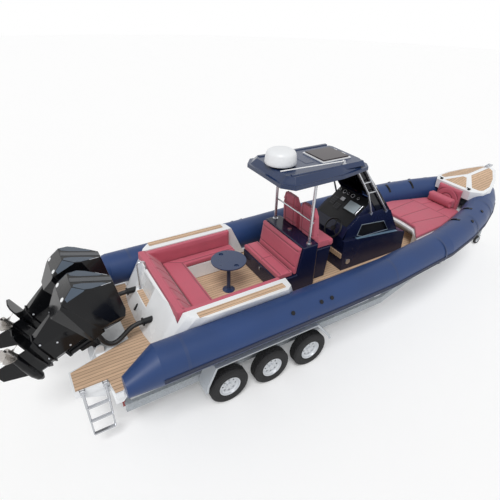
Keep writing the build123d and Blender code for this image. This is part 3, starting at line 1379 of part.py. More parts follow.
def main():
    os.makedirs("parts", exist_ok=True)
    nodes = build()
    solids = {name: [s for shape in shapes for s in shape.solids()] for name, shapes in nodes.items()}
    boxes = [s.bounding_box() for group in solids.values() for s in group]
    middle = (min(b.min.X for b in boxes) + max(b.max.X for b in boxes)) / 2
    for name, group in solids.items():
        export_step(Pos(-middle, 0, 0) * Compound(group), f"parts/{name}.step")
    print("origin moved forward by", round(middle, 3))


if __name__ == "__main__":
    main()
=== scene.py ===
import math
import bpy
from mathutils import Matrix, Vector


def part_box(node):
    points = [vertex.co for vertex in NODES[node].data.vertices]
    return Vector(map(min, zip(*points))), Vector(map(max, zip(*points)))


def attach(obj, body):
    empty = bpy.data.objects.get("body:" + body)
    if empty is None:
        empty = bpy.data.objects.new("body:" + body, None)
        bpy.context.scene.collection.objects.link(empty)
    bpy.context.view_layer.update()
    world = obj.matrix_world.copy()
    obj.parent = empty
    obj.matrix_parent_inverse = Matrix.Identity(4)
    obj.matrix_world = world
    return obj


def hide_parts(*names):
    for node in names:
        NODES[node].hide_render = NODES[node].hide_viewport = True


bl_info = {
    "name": "Inflatable family boat on its trailer",
    "version": (1, 0, 0),
    "blender": (4, 5, 0),
    "location": "3D View > Sidebar > Boat",
    "description": "Finishes the boat, its two engines and the trailer, and adds their soft goods and trim",
    "category": "Object",
}

import bmesh
import bpy
import numpy as np
from mathutils import Matrix, Vector

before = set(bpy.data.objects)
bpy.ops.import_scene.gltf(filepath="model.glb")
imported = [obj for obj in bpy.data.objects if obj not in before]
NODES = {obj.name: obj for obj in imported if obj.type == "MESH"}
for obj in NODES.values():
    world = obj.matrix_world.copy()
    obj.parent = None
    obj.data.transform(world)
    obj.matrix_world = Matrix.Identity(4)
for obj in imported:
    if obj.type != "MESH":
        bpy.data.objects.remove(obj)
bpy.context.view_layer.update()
ROOT = "boat_and_trailer"
# Places below are written in metres from the rear axle's centre, and this takes them to the frame
AXLE_X = sum(corner.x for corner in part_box("wheel_1_port")) / 2
SIDES = (("starboard", -1), ("port", 1))
CUSHION_VINYL = "sewn cushion vinyl"


def tint(red, green, blue):
    """Colour of a surface from its 0 to 255 screen values"""
    parts = []
    for value in (red, green, blue):
        share = value / 255
        parts.append(share / 12.92 if share <= 0.04045 else ((share + 0.055) / 1.055) ** 2.4)
    return tuple(parts)


def colour(name, description, default):
    return bpy.props.FloatVectorProperty(
        name=name, description=description, default=default, subtype="COLOR", size=3, min=0, max=1
    )


def length(name, description, default):
    return bpy.props.FloatProperty(
        name=name, description=description, default=default, unit="LENGTH", min=0
    )


class BoatColours(bpy.types.PropertyGroup):
    tube: colour("Tube", "Coated cloth of the inflatable collar", tint(38, 63, 110))
    cushion: colour("Cushions", "Vinyl of the seats and the sunpad", tint(190, 90, 108))
    gelcoat: colour("Gelcoat", "Hull, coaming, bow step and platform", tint(238, 240, 242))
    teak: colour("Teak", "Deck planks", tint(224, 190, 158))
    caulk: colour("Caulking", "Lines between the planks", tint(112, 86, 68))
    module: colour("Console", "Console and seat module", tint(20, 27, 58))
    roof: colour("Hard top", "Roof shell", tint(33, 50, 84))
    engine: colour("Engines", "Cowls and legs", tint(14, 15, 18))
    facet: colour("Engine facets", "Grey panels let into the cowls", tint(72, 84, 98))
    steel: colour("Stainless steel", "Posts, rails and ladder", tint(196, 198, 202))
    zinc: colour("Galvanising", "Trailer frame", tint(172, 178, 183))
    rubber: colour("Rubber", "Tyres and hoses", tint(24, 24, 26))


class BoatSizes(bpy.types.PropertyGroup):
    plank: length("Plank width", "Distance between two caulking lines", 0.055)
    tape: length("Seam tape", "Width of the tape over a joint of the collar", 0.045)
    piping: length("Seam depth", "How far a sewn seam pulls into a cushion", 0.009)
    swell: length("Cushion swell", "How far a cushion's face may stand out from its cut shape", 0.014)


def shades():
    return bpy.context.scene.boat_colours


def sizes():
    return bpy.context.scene.boat_sizes


class Tree:
    """Short way to place shader nodes and join them"""

    def __init__(self, tree):
        self.tree = tree

    def add(self, kind, **values):
        node = self.tree.nodes.new(kind)
        for key, value in values.items():
            setattr(node, key, value)
        return node

    def join(self, output, target):
        self.tree.links.new(output, target)

    def fill(self, target, value):
        """A socket is joined to the input, and a number is written into it"""
        if isinstance(value, bpy.types.NodeSocket):
            self.join(value, target)
        else:
            target.default_value = value

    def math(self, operation, first, second=0.0, third=0.0):
        node = self.add("ShaderNodeMath", operation=operation)
        for target, value in zip(node.inputs, (first, second, third)):
            self.fill(target, value)
        return node.outputs[0]

    def mix(self, share, first, second):
        node = self.add("ShaderNodeMix", data_type="RGBA")
        for target, value in ((node.inputs[0], share), (node.inputs[6], first), (node.inputs[7], second)):
            if isinstance(value, tuple) and len(value) == 3:
                value = (*value, 1)
            self.fill(target, value)
        return node.outputs[2]

    def noise(self, vector, scale, detail=3.0):
        node = self.add("ShaderNodeTexNoise")
        self.join(vector, node.inputs["Vector"])
        self.fill(node.inputs["Scale"], scale)
        self.fill(node.inputs["Detail"], detail)
        return node.outputs["Fac"]

    def stretch(self, vector, scale):
        node = self.add("ShaderNodeMapping")
        self.join(vector, node.inputs["Vector"])
        node.inputs["Scale"].default_value = scale
        return node.outputs["Vector"]

    def ramp(self, value, low, high, first=0.0, last=1.0):
        node = self.add("ShaderNodeMapRange")
        for target, given in zip(node.inputs, (value, low, high, first, last)):
            self.fill(target, given)
        return node.outputs[0]


def shared_group(name, inputs, outputs, build):
    """A node group made once, with named sockets"""
    tree = bpy.data.node_groups.get(name)
    if tree:
        return tree
    tree = bpy.data.node_groups.new(name, "ShaderNodeTree")
    for label, kind, value in inputs:
        socket = tree.interface.new_socket(name=label, in_out="INPUT", socket_type="NodeSocket" + kind)
        if value is not None:
            socket.default_value = value
    for label, kind in outputs:
        tree.interface.new_socket(name=label, in_out="OUTPUT", socket_type="NodeSocket" + kind)
    t = Tree(tree)
    source = t.add("NodeGroupInput")
    result = t.add("NodeGroupOutput")
    build(t, source.outputs, result.inputs)
    return tree


def uneven_tone():
    """A colour made lighter and darker in soft blotches"""

    def build(t, given, made):
        blotch = t.noise(given["Vector"], given["Scale"], 4.0)
        share = t.math("MULTIPLY", t.math("SUBTRACT", blotch, 0.5), given["Amount"])
        lift = t.math("ADD", share, 1.0)
        scaled = t.add("ShaderNodeVectorMath", operation="SCALE")
        t.join(given["Color"], scaled.inputs[0])
        t.join(lift, scaled.inputs["Scale"])
        t.join(scaled.outputs[0], made["Color"])
        t.join(blotch, made["Blotch"])

    inputs = [
        ("Vector", "Vector", None),
        ("Color", "Color", None),
        ("Scale", "Float", 3.0),
        ("Amount", "Float", 0.3),
    ]
    return shared_group("Uneven tone", inputs, [("Color", "Color"), ("Blotch", "Float")], build)


def fine_grain():
    """Height of a fine pebbled surface"""

    def build(t, given, made):
        cells = t.add("ShaderNodeTexVoronoi")
        t.join(given["Vector"], cells.inputs["Vector"])
        t.join(given["Scale"], cells.inputs["Scale"])
        soft = t.noise(given["Vector"], t.math("MULTIPLY", given["Scale"], 0.4), 2.0)
        t.join(t.math("ADD", cells.outputs["Distance"], soft), made["Height"])

    inputs = [("Vector", "Vector", None), ("Scale", "Float", 300.0)]
    return shared_group("Fine grain", inputs, [("Height", "Float")], build)


def woven_cloth():
    """Height of crossing threads"""

    def build(t, given, made):
        parts = t.add("ShaderNodeSeparateXYZ")
        t.join(given["Vector"], parts.inputs[0])
        waves = []
        for index in range(3):
            waves.append(t.math("SINE", t.math("MULTIPLY", parts.outputs[index], given["Scale"])))
        sum_of = t.math("ADD", t.math("MULTIPLY", waves[0], waves[1]), waves[2])
        t.join(t.math("MULTIPLY", sum_of, 0.5), made["Height"])

    inputs = [("Vector", "Vector", None), ("Scale", "Float", 1500.0)]
    return shared_group("Woven cloth", inputs, [("Height", "Float")], build)


def zinc_spangle():
    """Tone of the crystals on dipped steel"""

    def build(t, given, made):
        cells = t.add("ShaderNodeTexVoronoi")
        t.join(given["Vector"], cells.inputs["Vector"])
        t.join(given["Scale"], cells.inputs["Scale"])
        grey = t.add("ShaderNodeRGBToBW")
        t.join(cells.outputs["Color"], grey.inputs[0])
        t.join(grey.outputs[0], made["Tone"])

    inputs = [("Vector", "Vector", None), ("Scale", "Float", 60.0)]
    return shared_group("Zinc spangle", inputs, [("Tone", "Float")], build)


def deck_planks():
    """Masks of the caulking lines, the single planks and the wood's fibre"""

    def build(t, given, made):
        parts = t.add("ShaderNodeSeparateXYZ")
        t.join(given["Vector"], parts.inputs[0])
        across = t.math("DIVIDE", parts.outputs["Y"], given["Width"])
        number = t.math("FLOOR", across)
        inside = t.math("FRACT", across)
        edge = t.math("MINIMUM", inside, t.math("SUBTRACT", 1.0, inside))
        t.join(t.ramp(edge, 0.035, 0.075, 1.0, 0.0), made["Caulk"])
        tone = t.add("ShaderNodeTexWhiteNoise", noise_dimensions="1D")
        t.join(number, tone.inputs["W"])
        t.join(tone.outputs["Value"], made["Plank"])
        fibre = t.noise(t.stretch(given["Vector"], (4, 90, 90)), 1.0, 5.0)
        t.join(fibre, made["Fibre"])

    inputs = [("Vector", "Vector", None), ("Width", "Float", 0.055)]
    outputs = [("Caulk", "Float"), ("Plank", "Float"), ("Fibre", "Float")]
    return shared_group("Deck planks", inputs, outputs, build)


class Finish:
    """A material on object coordinates: a shader whose fixed values are written straight on it"""

    def __init__(self, name, roughness=0.5, metal=0.0, coat=0.0, sheen=0.0, specular=0.5):
        self.material = bpy.data.materials.new(name)
        self.material.use_nodes = True
        self.t = Tree(self.material.node_tree)
        self.shader = self.material.node_tree.nodes["Principled BSDF"]
        for label, value in (
            ("Roughness", roughness),
            ("Metallic", metal),
            ("Coat Weight", coat),
            ("Sheen Weight", sheen),
            ("Specular IOR Level", specular),
        ):
            self.shader.inputs[label].default_value = value
        self.place = self.t.add("ShaderNodeTexCoord").outputs["Object"]

    def centred(self, point):
        node = self.t.add("ShaderNodeMapping")
        self.t.join(self.place, node.inputs["Vector"])
        node.inputs["Location"].default_value = [-value for value in point]
        return node.outputs["Vector"]

    def use(self, tree, **values):
        node = self.t.add("ShaderNodeGroup", node_tree=tree)
        for label, value in values.items():
            self.t.fill(node.inputs[label], value)
        if "Vector" in node.inputs and "Vector" not in values:
            self.t.join(self.place, node.inputs["Vector"])
        return node.outputs

    def tone(self, base, scale=3.0, amount=0.3):
        made = self.use(uneven_tone(), Color=(*base, 1), Scale=scale, Amount=amount)
        self.t.join(made["Color"], self.shader.inputs["Base Color"])
        return made

    def relief(self, height, strength=0.2, distance=0.001):
        bump = self.t.add("ShaderNodeBump")
        bump.inputs["Strength"].default_value = strength
        bump.inputs["Distance"].default_value = distance
        self.t.join(height, bump.inputs["Height"])
        self.t.join(bump.outputs["Normal"], self.shader.inputs["Normal"])

    def rough(self, value):
        self.t.join(value, self.shader.inputs["Roughness"])


def plain_finish(
    name,
    base,
    roughness,
    spread=0.1,
    metal=0.0,
    coat=0.0,
    grain=250.0,
    strength=0.12,
    amount=0.25,
    scale=2.5,
    specular=0.5,
):
    """Paint, gelcoat, moulding or metal, with an uneven tone, an uneven gloss and a fine grain"""
    made = Finish(name, roughness, metal, coat, specular=specular)
    tone = made.tone(base, scale, amount)
    made.rough(made.t.ramp(tone["Blotch"], 0.3, 0.7, roughness - spread, roughness + spread))
    made.relief(made.use(fine_grain(), Scale=grain)["Height"], strength, 0.0004)
    return made.material


def tube_finish():
    made = Finish("coated tube cloth", 0.42, sheen=0.05, specular=0.35)
    tone = made.tone(shades().tube, 1.6, 0.3)
    made.rough(made.t.ramp(tone["Blotch"], 0.3, 0.7, 0.36, 0.5))
    made.relief(made.use(woven_cloth(), Scale=1400.0)["Height"], 0.12, 0.0006)
    return made.material


def cushion_finish():
    """Vinyl with painted shade that darkens it into its sewn seams, which the mesh carries as an attribute
    """
    made = Finish(CUSHION_VINYL, 0.56, sheen=0.2)
    base = shades().cushion
    seam = made.t.add("ShaderNodeAttribute", attribute_name="seam").outputs["Fac"]
    tone = made.use(uneven_tone(), Color=(*base, 1), Scale=5.0, Amount=0.22)
    # Painted shade: the vinyl is darkened to 0.42 of its colour in the creases of the sewn seams
    dark = tuple(value * 0.42 for value in base)
    share = made.t.math("MULTIPLY", seam, 0.8)
    made.t.join(made.t.mix(share, tone["Color"], dark), made.shader.inputs["Base Color"])
    made.rough(made.t.ramp(tone["Blotch"], 0.3, 0.7, 0.5, 0.64))
    made.relief(made.use(fine_grain(), Scale=420.0)["Height"], 0.25, 0.0008)
    return made.material


def teak_finish():
    made = Finish("teak planks", 0.6)
    planks = made.use(deck_planks(), Width=sizes().plank)
    base = tuple(shades().teak)
    dark = tuple(value * 0.78 for value in base)
    wood = made.t.mix(planks["Plank"], base, dark)
    darkest = tuple(value * 0.7 for value in base)
    streak = made.t.mix(made.t.ramp(planks["Fibre"], 0.35, 0.7), wood, darkest)
    lined = made.t.mix(planks["Caulk"], streak, tuple(shades().caulk))
    made.t.join(lined, made.shader.inputs["Base Color"])
    made.rough(made.t.ramp(planks["Fibre"], 0.3, 0.7, 0.5, 0.72))
    height = made.t.math("SUBTRACT", made.t.math("MULTIPLY", planks["Fibre"], 0.3), planks["Caulk"])
    made.relief(height, 0.5, 0.0012)
    return made.material


def zinc_finish():
    made = Finish("hot dip galvanised steel", 0.45, 0.35)
    base = tuple(shades().zinc)
    spangle = made.use(zinc_spangle(), Scale=45.0)["Tone"]
    dark = tuple(value * 0.78 for value in base)
    light = tuple(min(1, value * 1.15) for value in base)
    grey = made.t.mix(spangle, dark, light)
    tone = made.use(uneven_tone(), Color=grey, Scale=3.0, Amount=0.3)
    made.t.join(tone["Color"], made.shader.inputs["Base Color"])
    made.rough(made.t.ramp(spangle, 0.1, 0.9, 0.35, 0.58))
    made.relief(tone["Blotch"], 0.15, 0.001)
    return made.material


def wheel_finish(name, centre, rim, tyre_edge):
    """Tyre with a ribbed tread round a steel rim, told apart by the distance from the axle"""
    made = Finish(name, 0.5)
    spot = made.centred(centre)
    parts = made.t.add("ShaderNodeSeparateXYZ")
    made.t.join(spot, parts.inputs[0])
    x, z = parts.outputs["X"], parts.outputs["Z"]
    squares = [made.t.math("MULTIPLY", value, value) for value in (x, z)]
    reach = made.t.math("SQRT", made.t.math("ADD", *squares))
    inside = made.t.ramp(reach, rim - 0.002, rim + 0.002, 1.0, 0.0)
    turn = made.t.math("ARCTAN2", z, x)
    blocks = made.t.math("SINE", made.t.math("MULTIPLY", turn, 64.0))
    grooves = made.t.math("SINE", made.t.math("MULTIPLY", parts.outputs["Y"], 170.0))
    tread = made.t.ramp(reach, tyre_edge - 0.02, tyre_edge - 0.008)
    ribs = made.t.math("MULTIPLY", made.t.math("MAXIMUM", blocks, grooves), tread)
    waves = made.t.math("SINE", made.t.math("MULTIPLY", reach, 420.0))
    rings = made.t.math("MULTIPLY", waves, made.t.math("SUBTRACT", 1.0, tread))
    rubber = made.use(uneven_tone(), Color=(*shades().rubber, 1), Scale=9.0, Amount=0.5)
    steel = made.use(uneven_tone(), Color=(*tint(206, 209, 213), 1), Scale=14.0, Amount=0.25)
    made.t.join(made.t.mix(inside, rubber["Color"], steel["Color"]), made.shader.inputs["Base Color"])
    made.t.join(made.t.math("MULTIPLY", inside, 0.6), made.shader.inputs["Metallic"])
    made.rough(made.t.ramp(inside, 0.0, 1.0, 0.78, 0.34))
    outside = made.t.math("SUBTRACT", 1.0, inside)
    height = made.t.math("ADD", ribs, made.t.math("MULTIPLY", rings, 0.15))
    made.relief(made.t.math("MULTIPLY", height, outside), 0.7, 0.004)
    return made.material


def tinted_screen(name, base, roughness=0.06):
    made = Finish(name, roughness, specular=0.3)
    made.tone(base, 4.0, 0.2)
    made.relief(made.use(fine_grain(), Scale=3.0)["Height"], 0.03, 0.002)
    return made.material


def shared_finish(name, base, roughness, **values):
    """A plain finish, made the first time that it is asked for"""
    return bpy.data.materials.get(name) or plain_finish(name, base, roughness, **values)


def gelcoat():
    values = {"spread": 0.05, "coat": 0.3, "grain": 60.0, "strength": 0.05, "amount": 0.08}
    return shared_finish("white gelcoat", shades().gelcoat, 0.28, **values)


def stainless():
    values = {"spread": 0.06, "metal": 0.9, "amount": 0.12}
    return shared_finish("polished stainless steel", shades().steel, 0.2, **values)


def black_moulding():
    return shared_finish("black moulding", tint(18, 19, 22), 0.42, amount=0.3, specular=0.3)


def engine_paint():
    values = {"spread": 0.05, "coat": 0.12, "grain": 40.0, "strength": 0.04, "amount": 0.3}
    return shared_finish("black engine paint", shades().engine, 0.16, specular=0.22, **values)


def facet_paint():
    return shared_finish("slate engine panel", shades().facet, 0.3, spread=0.06, specular=0.35)


def console_paint():
    values = {"spread": 0.05, "coat": 0.1, "grain": 60.0, "strength": 0.05, "specular": 0.3}
    return shared_finish("navy console gelcoat", shades().module, 0.2, **values)


def roof_paint():
    values = {"spread": 0.06, "coat": 0.15, "grain": 50.0, "strength": 0.05, "amount": 0.18, "scale": 1.5}
    return shared_finish("hard top gelcoat", shades().roof, 0.24, specular=0.4, **values)


def cushion_vinyl():
    return bpy.data.materials.get(CUSHION_VINYL) or cushion_finish()


def new_piece(name, bm, finish, body=ROOT, bevel=0.0, smooth=None):
    """The mesh becomes a piece that rides on a body; its places were written from the rear axle"""
    bmesh.ops.translate(bm, vec=(AXLE_X, 0, 0), verts=bm.verts)
    bmesh.ops.remove_doubles(bm, verts=bm.verts, dist=1e-6)
    bmesh.ops.recalc_face_normals(bm, faces=bm.faces)
    mesh = bpy.data.meshes.new(name)
    bm.to_mesh(mesh)
    bm.free()
    piece = bpy.data.objects.new(name, mesh)
    bpy.context.scene.collection.objects.link(piece)
    piece.data.materials.append(finish)
    if smooth is not None:
        mesh.shade_smooth()
        mesh.set_sharp_from_angle(angle=math.radians(smooth))
    if bevel:
        soften(piece, bevel)
    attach(piece, body)
    return piece


def soften(piece, width, angle=30, segments=2):
    edge = piece.modifiers.new("softened edges", "BEVEL")
    edge.width = width
    edge.segments = segments
    edge.limit_method = "ANGLE"
    edge.angle_limit = math.radians(angle)
    edge.harden_normals = True
    edge.use_clamp_overlap = True


def soften_node(name, width, segments):
    """A CAD solid's triangles are joined and its flat faces made whole before its edges are eased"""
    node = NODES[name]
    weld = node.modifiers.new("joined triangles", "WELD")
    weld.merge_threshold = 0.00005
    flat = node.modifiers.new("whole faces", "DECIMATE")
    flat.decimate_type = "DISSOLVE"
    flat.angle_limit = math.radians(0.6)
    soften(node, width, 28, segments)


def dress(finish, *names):
    for name in names:
        NODES[name].material_slots[0].material = finish


def prism(bm, points, vector):
    """Outline of points, extruded along a vector"""
    face = bm.faces.new([bm.verts.new(point) for point in points])
    made = bmesh.ops.extrude_face_region(bm, geom=[face])
    moved = [item for item in made["geom"] if isinstance(item, bmesh.types.BMVert)]
    bmesh.ops.translate(bm, vec=vector, verts=moved)


def turned(bm, profile, steps, closed=False):
    """Profile of points, spun once round the upright line through the origin"""
    verts = [bm.verts.new(point) for point in profile]
    ends = verts[1:] + ([verts[0]] if closed else [])
    edges = [bm.edges.new(pair) for pair in zip(verts, ends)]
    bmesh.ops.spin(
        bm,
        geom=verts + edges,
        cent=(0, 0, 0),
        axis=(0, 0, 1),
        dvec=(0, 0, 0),
        angle=math.tau,
        steps=steps,
        use_merge=True,
    )


def disc(bm, centre, axis, radius, thickness, steps=32, inner=0.0):
    """Round plate or ring, its back on the centre point and its face along the axis"""
    turn = Vector((0, 0, 1)).rotation_difference(Vector(axis).normalized()).to_matrix().to_4x4()
    matrix = Matrix.Translation(centre) @ turn
    before = set(bm.verts)
    profile = [
        (inner, 0, 0),
        (radius, 0, 0),
        (radius, 0, thickness * 0.8),
        (radius - thickness * 0.25, 0, thickness),
        (inner, 0, thickness),
    ]
    turned(bm, profile, steps, closed=inner > 0)
    fresh = [vert for vert in bm.verts if vert not in before]
    bmesh.ops.transform(bm, matrix=matrix, verts=fresh)
    bmesh.ops.remove_doubles(bm, verts=fresh, dist=1e-6)


def open_edges(ring):
    """Edges of a ring of points that carry one face so far"""
    found = {}
    for vert in ring:
        for edge in vert.link_edges:
            if edge.other_vert(vert) in ring and len(edge.link_faces) == 1:
                found[edge] = True
    return list(found)


def tube_along(bm, points, radius, sides=12):
    """Round bar along a line of points, each ring square to the line"""
    points = [Vector(point) for point in points]
    ring = None
    previous = Matrix.Identity(4)
    for index, point in enumerate(points):
        before = points[max(index - 1, 0)]
        after = points[min(index + 1, len(points) - 1)]
        turn = (after - before).to_track_quat("Z", "Y").to_matrix().to_4x4()
        if ring is None:
            made = bmesh.ops.create_circle(bm, cap_ends=True, segments=sides, radius=radius)
            ring = made["verts"]
        else:
            made = bmesh.ops.extrude_edge_only(bm, edges=open_edges(ring))
            ring = [item for item in made["geom"] if isinstance(item, bmesh.types.BMVert)]
        matrix = Matrix.Translation(point) @ turn
        bmesh.ops.transform(bm, matrix=matrix @ previous.inverted(), verts=ring)
        previous = matrix
    bmesh.ops.contextual_create(bm, geom=open_edges(ring))


class BoatOperator:
    bl_options = {"REGISTER", "UNDO"}


# Camera of the picture: heading from +X, angle down, roll, lens in mm and place from the rear axle
CAMERA_HEADING = 58.517
CAMERA_PITCH = 32.49
CAMERA_ROLL = -1.805
CAMERA_LENS = 29.11
CAMERA_PLACE = (-1.934, -4.844, 5.413)
FLOOR_RADIUS = 60
FLOOR_GLOW = 0.1
WORLD_LIGHT = 0.46
WORLD_SEEN = 1.0
SUN_POWER = 1.75
SUN_SPREAD = 25
SUN_FROM = (-0.35, -0.45, 1.0)


class BOAT_OT_stage(BoatOperator, bpy.types.Operator):
    """Pale floor, white surroundings, soft lamps and the camera at the picture's place"""

    bl_idname = "boat.stage"
    bl_label = "Stage"

    def execute(self, context):
        scene = context.scene
        scene.view_settings.view_transform = "Standard"
        self.camera(scene)
        self.floor()
        self.light(scene)
        return {"FINISHED"}

    def camera(self, scene):
        heading = math.radians(CAMERA_HEADING)
        pitch = math.radians(CAMERA_PITCH)
        roll = math.radians(CAMERA_ROLL)
        level = Vector((math.cos(heading), math.sin(heading), 0))
        right = Vector((math.sin(heading), -math.cos(heading), 0))
        up = Vector((0, 0, 1))
        ahead = math.cos(pitch) * level - math.sin(pitch) * up
        down = -math.sin(pitch) * level - math.cos(pitch) * up
        across = math.cos(roll) * right + math.sin(roll) * down
        along = -math.sin(roll) * right + math.cos(roll) * down
        view = bpy.data.cameras.new("picture view")
        view.lens = CAMERA_LENS
        view.sensor_width = 36
        camera = bpy.data.objects.new("picture_camera", view)
        matrix = Matrix((across, -along, -ahead)).transposed().to_4x4()
        matrix.translation = Vector((AXLE_X, 0, 0)) + Vector(CAMERA_PLACE)
        camera.matrix_world = matrix
        scene.collection.objects.link(camera)
        scene.camera = camera

    def floor(self):
        bm = bmesh.new()
        bmesh.ops.create_circle(bm, cap_ends=True, segments=64, radius=FLOOR_RADIUS)
        mesh = bpy.data.meshes.new("studio_floor")
        bm.to_mesh(mesh)
        bm.free()
        floor = bpy.data.objects.new("studio_floor", mesh)
        bpy.context.scene.collection.objects.link(floor)
        made = Finish("pale studio floor", 0.9, specular=0.1)
        made.tone((0.93, 0.93, 0.93), 0.4, 0.01)
        made.shader.inputs["Emission Color"].default_value = (1, 1, 1, 1)
        made.shader.inputs["Emission Strength"].default_value = FLOOR_GLOW
        mesh.materials.append(made.material)

    def light(self, scene):
        world = bpy.data.worlds.new("white surroundings")
        scene.world = world
        world.use_nodes = True
        t = Tree(world.node_tree)
        back = world.node_tree.nodes["Background"]
        path = t.add("ShaderNodeLightPath")
        seen = t.math("MAXIMUM", path.outputs["Is Camera Ray"], path.outputs["Is Glossy Ray"])
        seen = t.math("MAXIMUM", seen, path.outputs["Is Transmission Ray"])
        t.join(t.ramp(seen, 0.0, 1.0, WORLD_LIGHT, WORLD_SEEN), back.inputs["Strength"])
        back.inputs["Color"].default_value = (1, 1, 1, 1)
        lamp = bpy.data.lights.new("soft overhead sun", "SUN")
        lamp.energy = SUN_POWER
        lamp.angle = math.radians(SUN_SPREAD)
        sun = bpy.data.objects.new("soft_overhead_sun", lamp)
        sun.matrix_world = Vector(SUN_FROM).to_track_quat("Z", "Y").to_matrix().to_4x4()
        scene.collection.objects.link(sun)


HOSE_RADIUS = 0.034
HOSE_ROUTE = [
    (-0.9754, 0.395, 1.400),
    (-1.062, 0.395, 1.400),
    (-1.150, 0.400, 1.371),
    (-1.236, 0.410, 1.312),
    (-1.318, 0.420, 1.250),
    (-1.400, 0.426, 1.222),
    (-1.478, 0.424, 1.240),
    (-1.530, 0.414, 1.300),
    (-1.566, 0.403, 1.388),
    (-1.595, 0.396, 1.464),
    (-1.626, 0.393, 1.535),
]


class BOAT_OT_hoses(BoatOperator, bpy.types.Operator):
    """Rigging hoses from the splashwell to the raised engines"""

    bl_idname = "boat.hoses"
    bl_label = "Rigging hoses"

    def execute(self, context):
        finish = plain_finish("black rigging hose", shades().rubber, 0.5, amount=0.4)
        for side, hand in SIDES:
            curve = bpy.data.curves.new(f"hose_line_{side}", "CURVE")
            curve.dimensions = "3D"
            curve.bevel_depth = HOSE_RADIUS
            curve.bevel_resolution = 5
            curve.resolution_u = 8
            curve.use_fill_caps = True
            spline = curve.splines.new("NURBS")
            spline.points.add(len(HOSE_ROUTE) - 1)
            for point, (x, y, z) in zip(spline.points, HOSE_ROUTE):
                point.co = (AXLE_X + x, hand * y, z, 1)
            spline.order_u = 3
            spline.use_endpoint_u = True
            curve.materials.append(finish)
            hose = bpy.data.objects.new(f"rigging_hose_{side}", curve)
            context.scene.collection.objects.link(hose)
            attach(hose, ROOT)
            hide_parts(f"hose_{side}")
            x, y, z = HOSE_ROUTE[0]
        return {"FINISHED"}


# Radii of the rim's edge and of the tyre
ROAD_WHEEL = (0.178, 0.325)
JOCKEY_WHEEL = (0.062, 0.11)


class BOAT_OT_finishes(BoatOperator, bpy.types.Operator):
    """Materials and eased edges of the rigid parts that keep the frame's own shape"""

    bl_idname = "boat.finishes"
    bl_label = "Finishes"

    def execute(self, context):
        dress(tube_finish(), "collar")
        strake = plain_finish("navy rubbing strake", tint(28, 36, 62), 0.5, grain=120.0, amount=0.3)
        dress(strake, "rub_strake")
        dress(gelcoat(), "hull", "platform", "coaming", "lounge_base", "bow_base", "bow_step")
        dress(teak_finish(), "teak_decking")
        dress(console_paint(), "seat_module", "console")
        table = plain_finish("navy table top", tint(36, 54, 90), 0.35, coat=0.1, amount=0.15)
        dress(table, "table")
        dress(black_moulding(), "dash", "steering_wheel", "deck_fittings")
        dress(roof_paint(), "hard_top")
        dress(gelcoat(), "hatch_frame")
        dress(tinted_screen("smoked hatch pane", tint(58, 50, 54)), "hatch_lid")
        dress(tinted_screen("smoked windscreen", tint(16, 18, 26)), "windscreen")
        dress(stainless(), "top_posts", "top_frames", "antenna_mount", "stainless_fittings")
        dress(stainless(), "ladder_brackets", "ladder_upper", "ladder_middle", "ladder_lower")
        white = plain_finish("white aerial moulding", tint(234, 235, 236), 0.4, amount=0.06)
        dress(white, "antenna_rod")
        dress(engine_paint(), "cowl_port", "cowl_starboard", "leg_port", "leg_starboard")
        dress(black_moulding(), "swivel_port", "swivel_starboard")
        steel = plain_finish(
            "cast propeller steel", tint(176, 172, 168), 0.26, metal=0.85, amount=0.4, scale=12.0
        )
        dress(steel, "propeller_port", "propeller_starboard")
        clamp = plain_finish("white clamp casting", tint(214, 216, 218), 0.5, amount=0.15)
        dress(clamp, "engine_clamps")
        dress(zinc_finish(), "axles", "trailer_frame", "drawbar_gear")
        grey = plain_finish(
            "grey mudguard plastic",
            tint(184, 189, 194),
            0.4,
            metal=0.15,
            grain=180.0,
            strength=0.25,
            amount=0.2,
        )
        dress(grey, "fenders")
        supports = plain_finish(
            "grey bunk rubber", tint(128, 131, 134), 0.7, grain=140.0, strength=0.3, amount=0.3
        )
        dress(supports, "boat_supports")
        red = plain_finish("red lamp lens", tint(150, 18, 20), 0.2, coat=0.6, grain=90.0, strength=0.5)
        dress(red, "trailer_lights")
        for number in (1, 2, 3):
            for side, _ in SIDES:
                self.wheel(f"wheel_{number}_{side}", f"road wheel {number} {side}", ROAD_WHEEL)
        self.wheel("jockey_wheel", "jockey wheel", JOCKEY_WHEEL)
        for name, width in (
            ("coaming", 0.03),
            ("lounge_base", 0.012),
            ("bow_base", 0.015),
            ("bow_step", 0.012),
            ("seat_module", 0.02),
            ("console", 0.018),
            ("hard_top", 0.016),
            ("hatch_frame", 0.006),
            ("cowl_port", 0.03),
            ("cowl_starboard", 0.03),
            ("fenders", 0.004),
            ("trailer_frame", 0.005),
        ):
            soften_node(name, width, 3)
        return {"FINISHED"}

    def wheel(self, node, title, radii):
        low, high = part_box(node)
        dress(wheel_finish(title, (low + high) / 2, *radii), node)


def islands(bm):
    """The separate shells of a mesh, as lists of vertices"""
    left = set(bm.verts)
    found = []
    while left:
        todo = [left.pop()]
        shell = []
        while todo:
            vert = todo.pop()
            shell.append(vert)
            for edge in vert.link_edges:
                other = edge.other_vert(vert)
                if other in left:
                    left.discard(other)
                    todo.append(other)
        found.append(shell)
    return found


def node_shells(name):
    """Each solid of a soft CAD node as a merged mesh of its own, from aft to forward"""
    shells = []
    source = bmesh.new()
    source.from_mesh(NODES[name].data)
    bmesh.ops.remove_doubles(source, verts=source.verts, dist=0.0002)
    source.verts.index_update()

    def low_corner(shell):
        return tuple(round(min(vert.co[axis] for vert in shell), 2) for axis in range(3))

    marks = [{vert.index for vert in shell} for shell in sorted(islands(source), key=low_corner)]
    for mark in marks:
        bm = source.copy()
        bm.verts.ensure_lookup_table()
        bmesh.ops.delete(bm, geom=[v for v in bm.verts if v.index not in mark], context="VERTS")
        shells.append(bm)
    source.free()
    return shells


FILL_PRESSURE = 4.0
FILL_FRAMES = 20


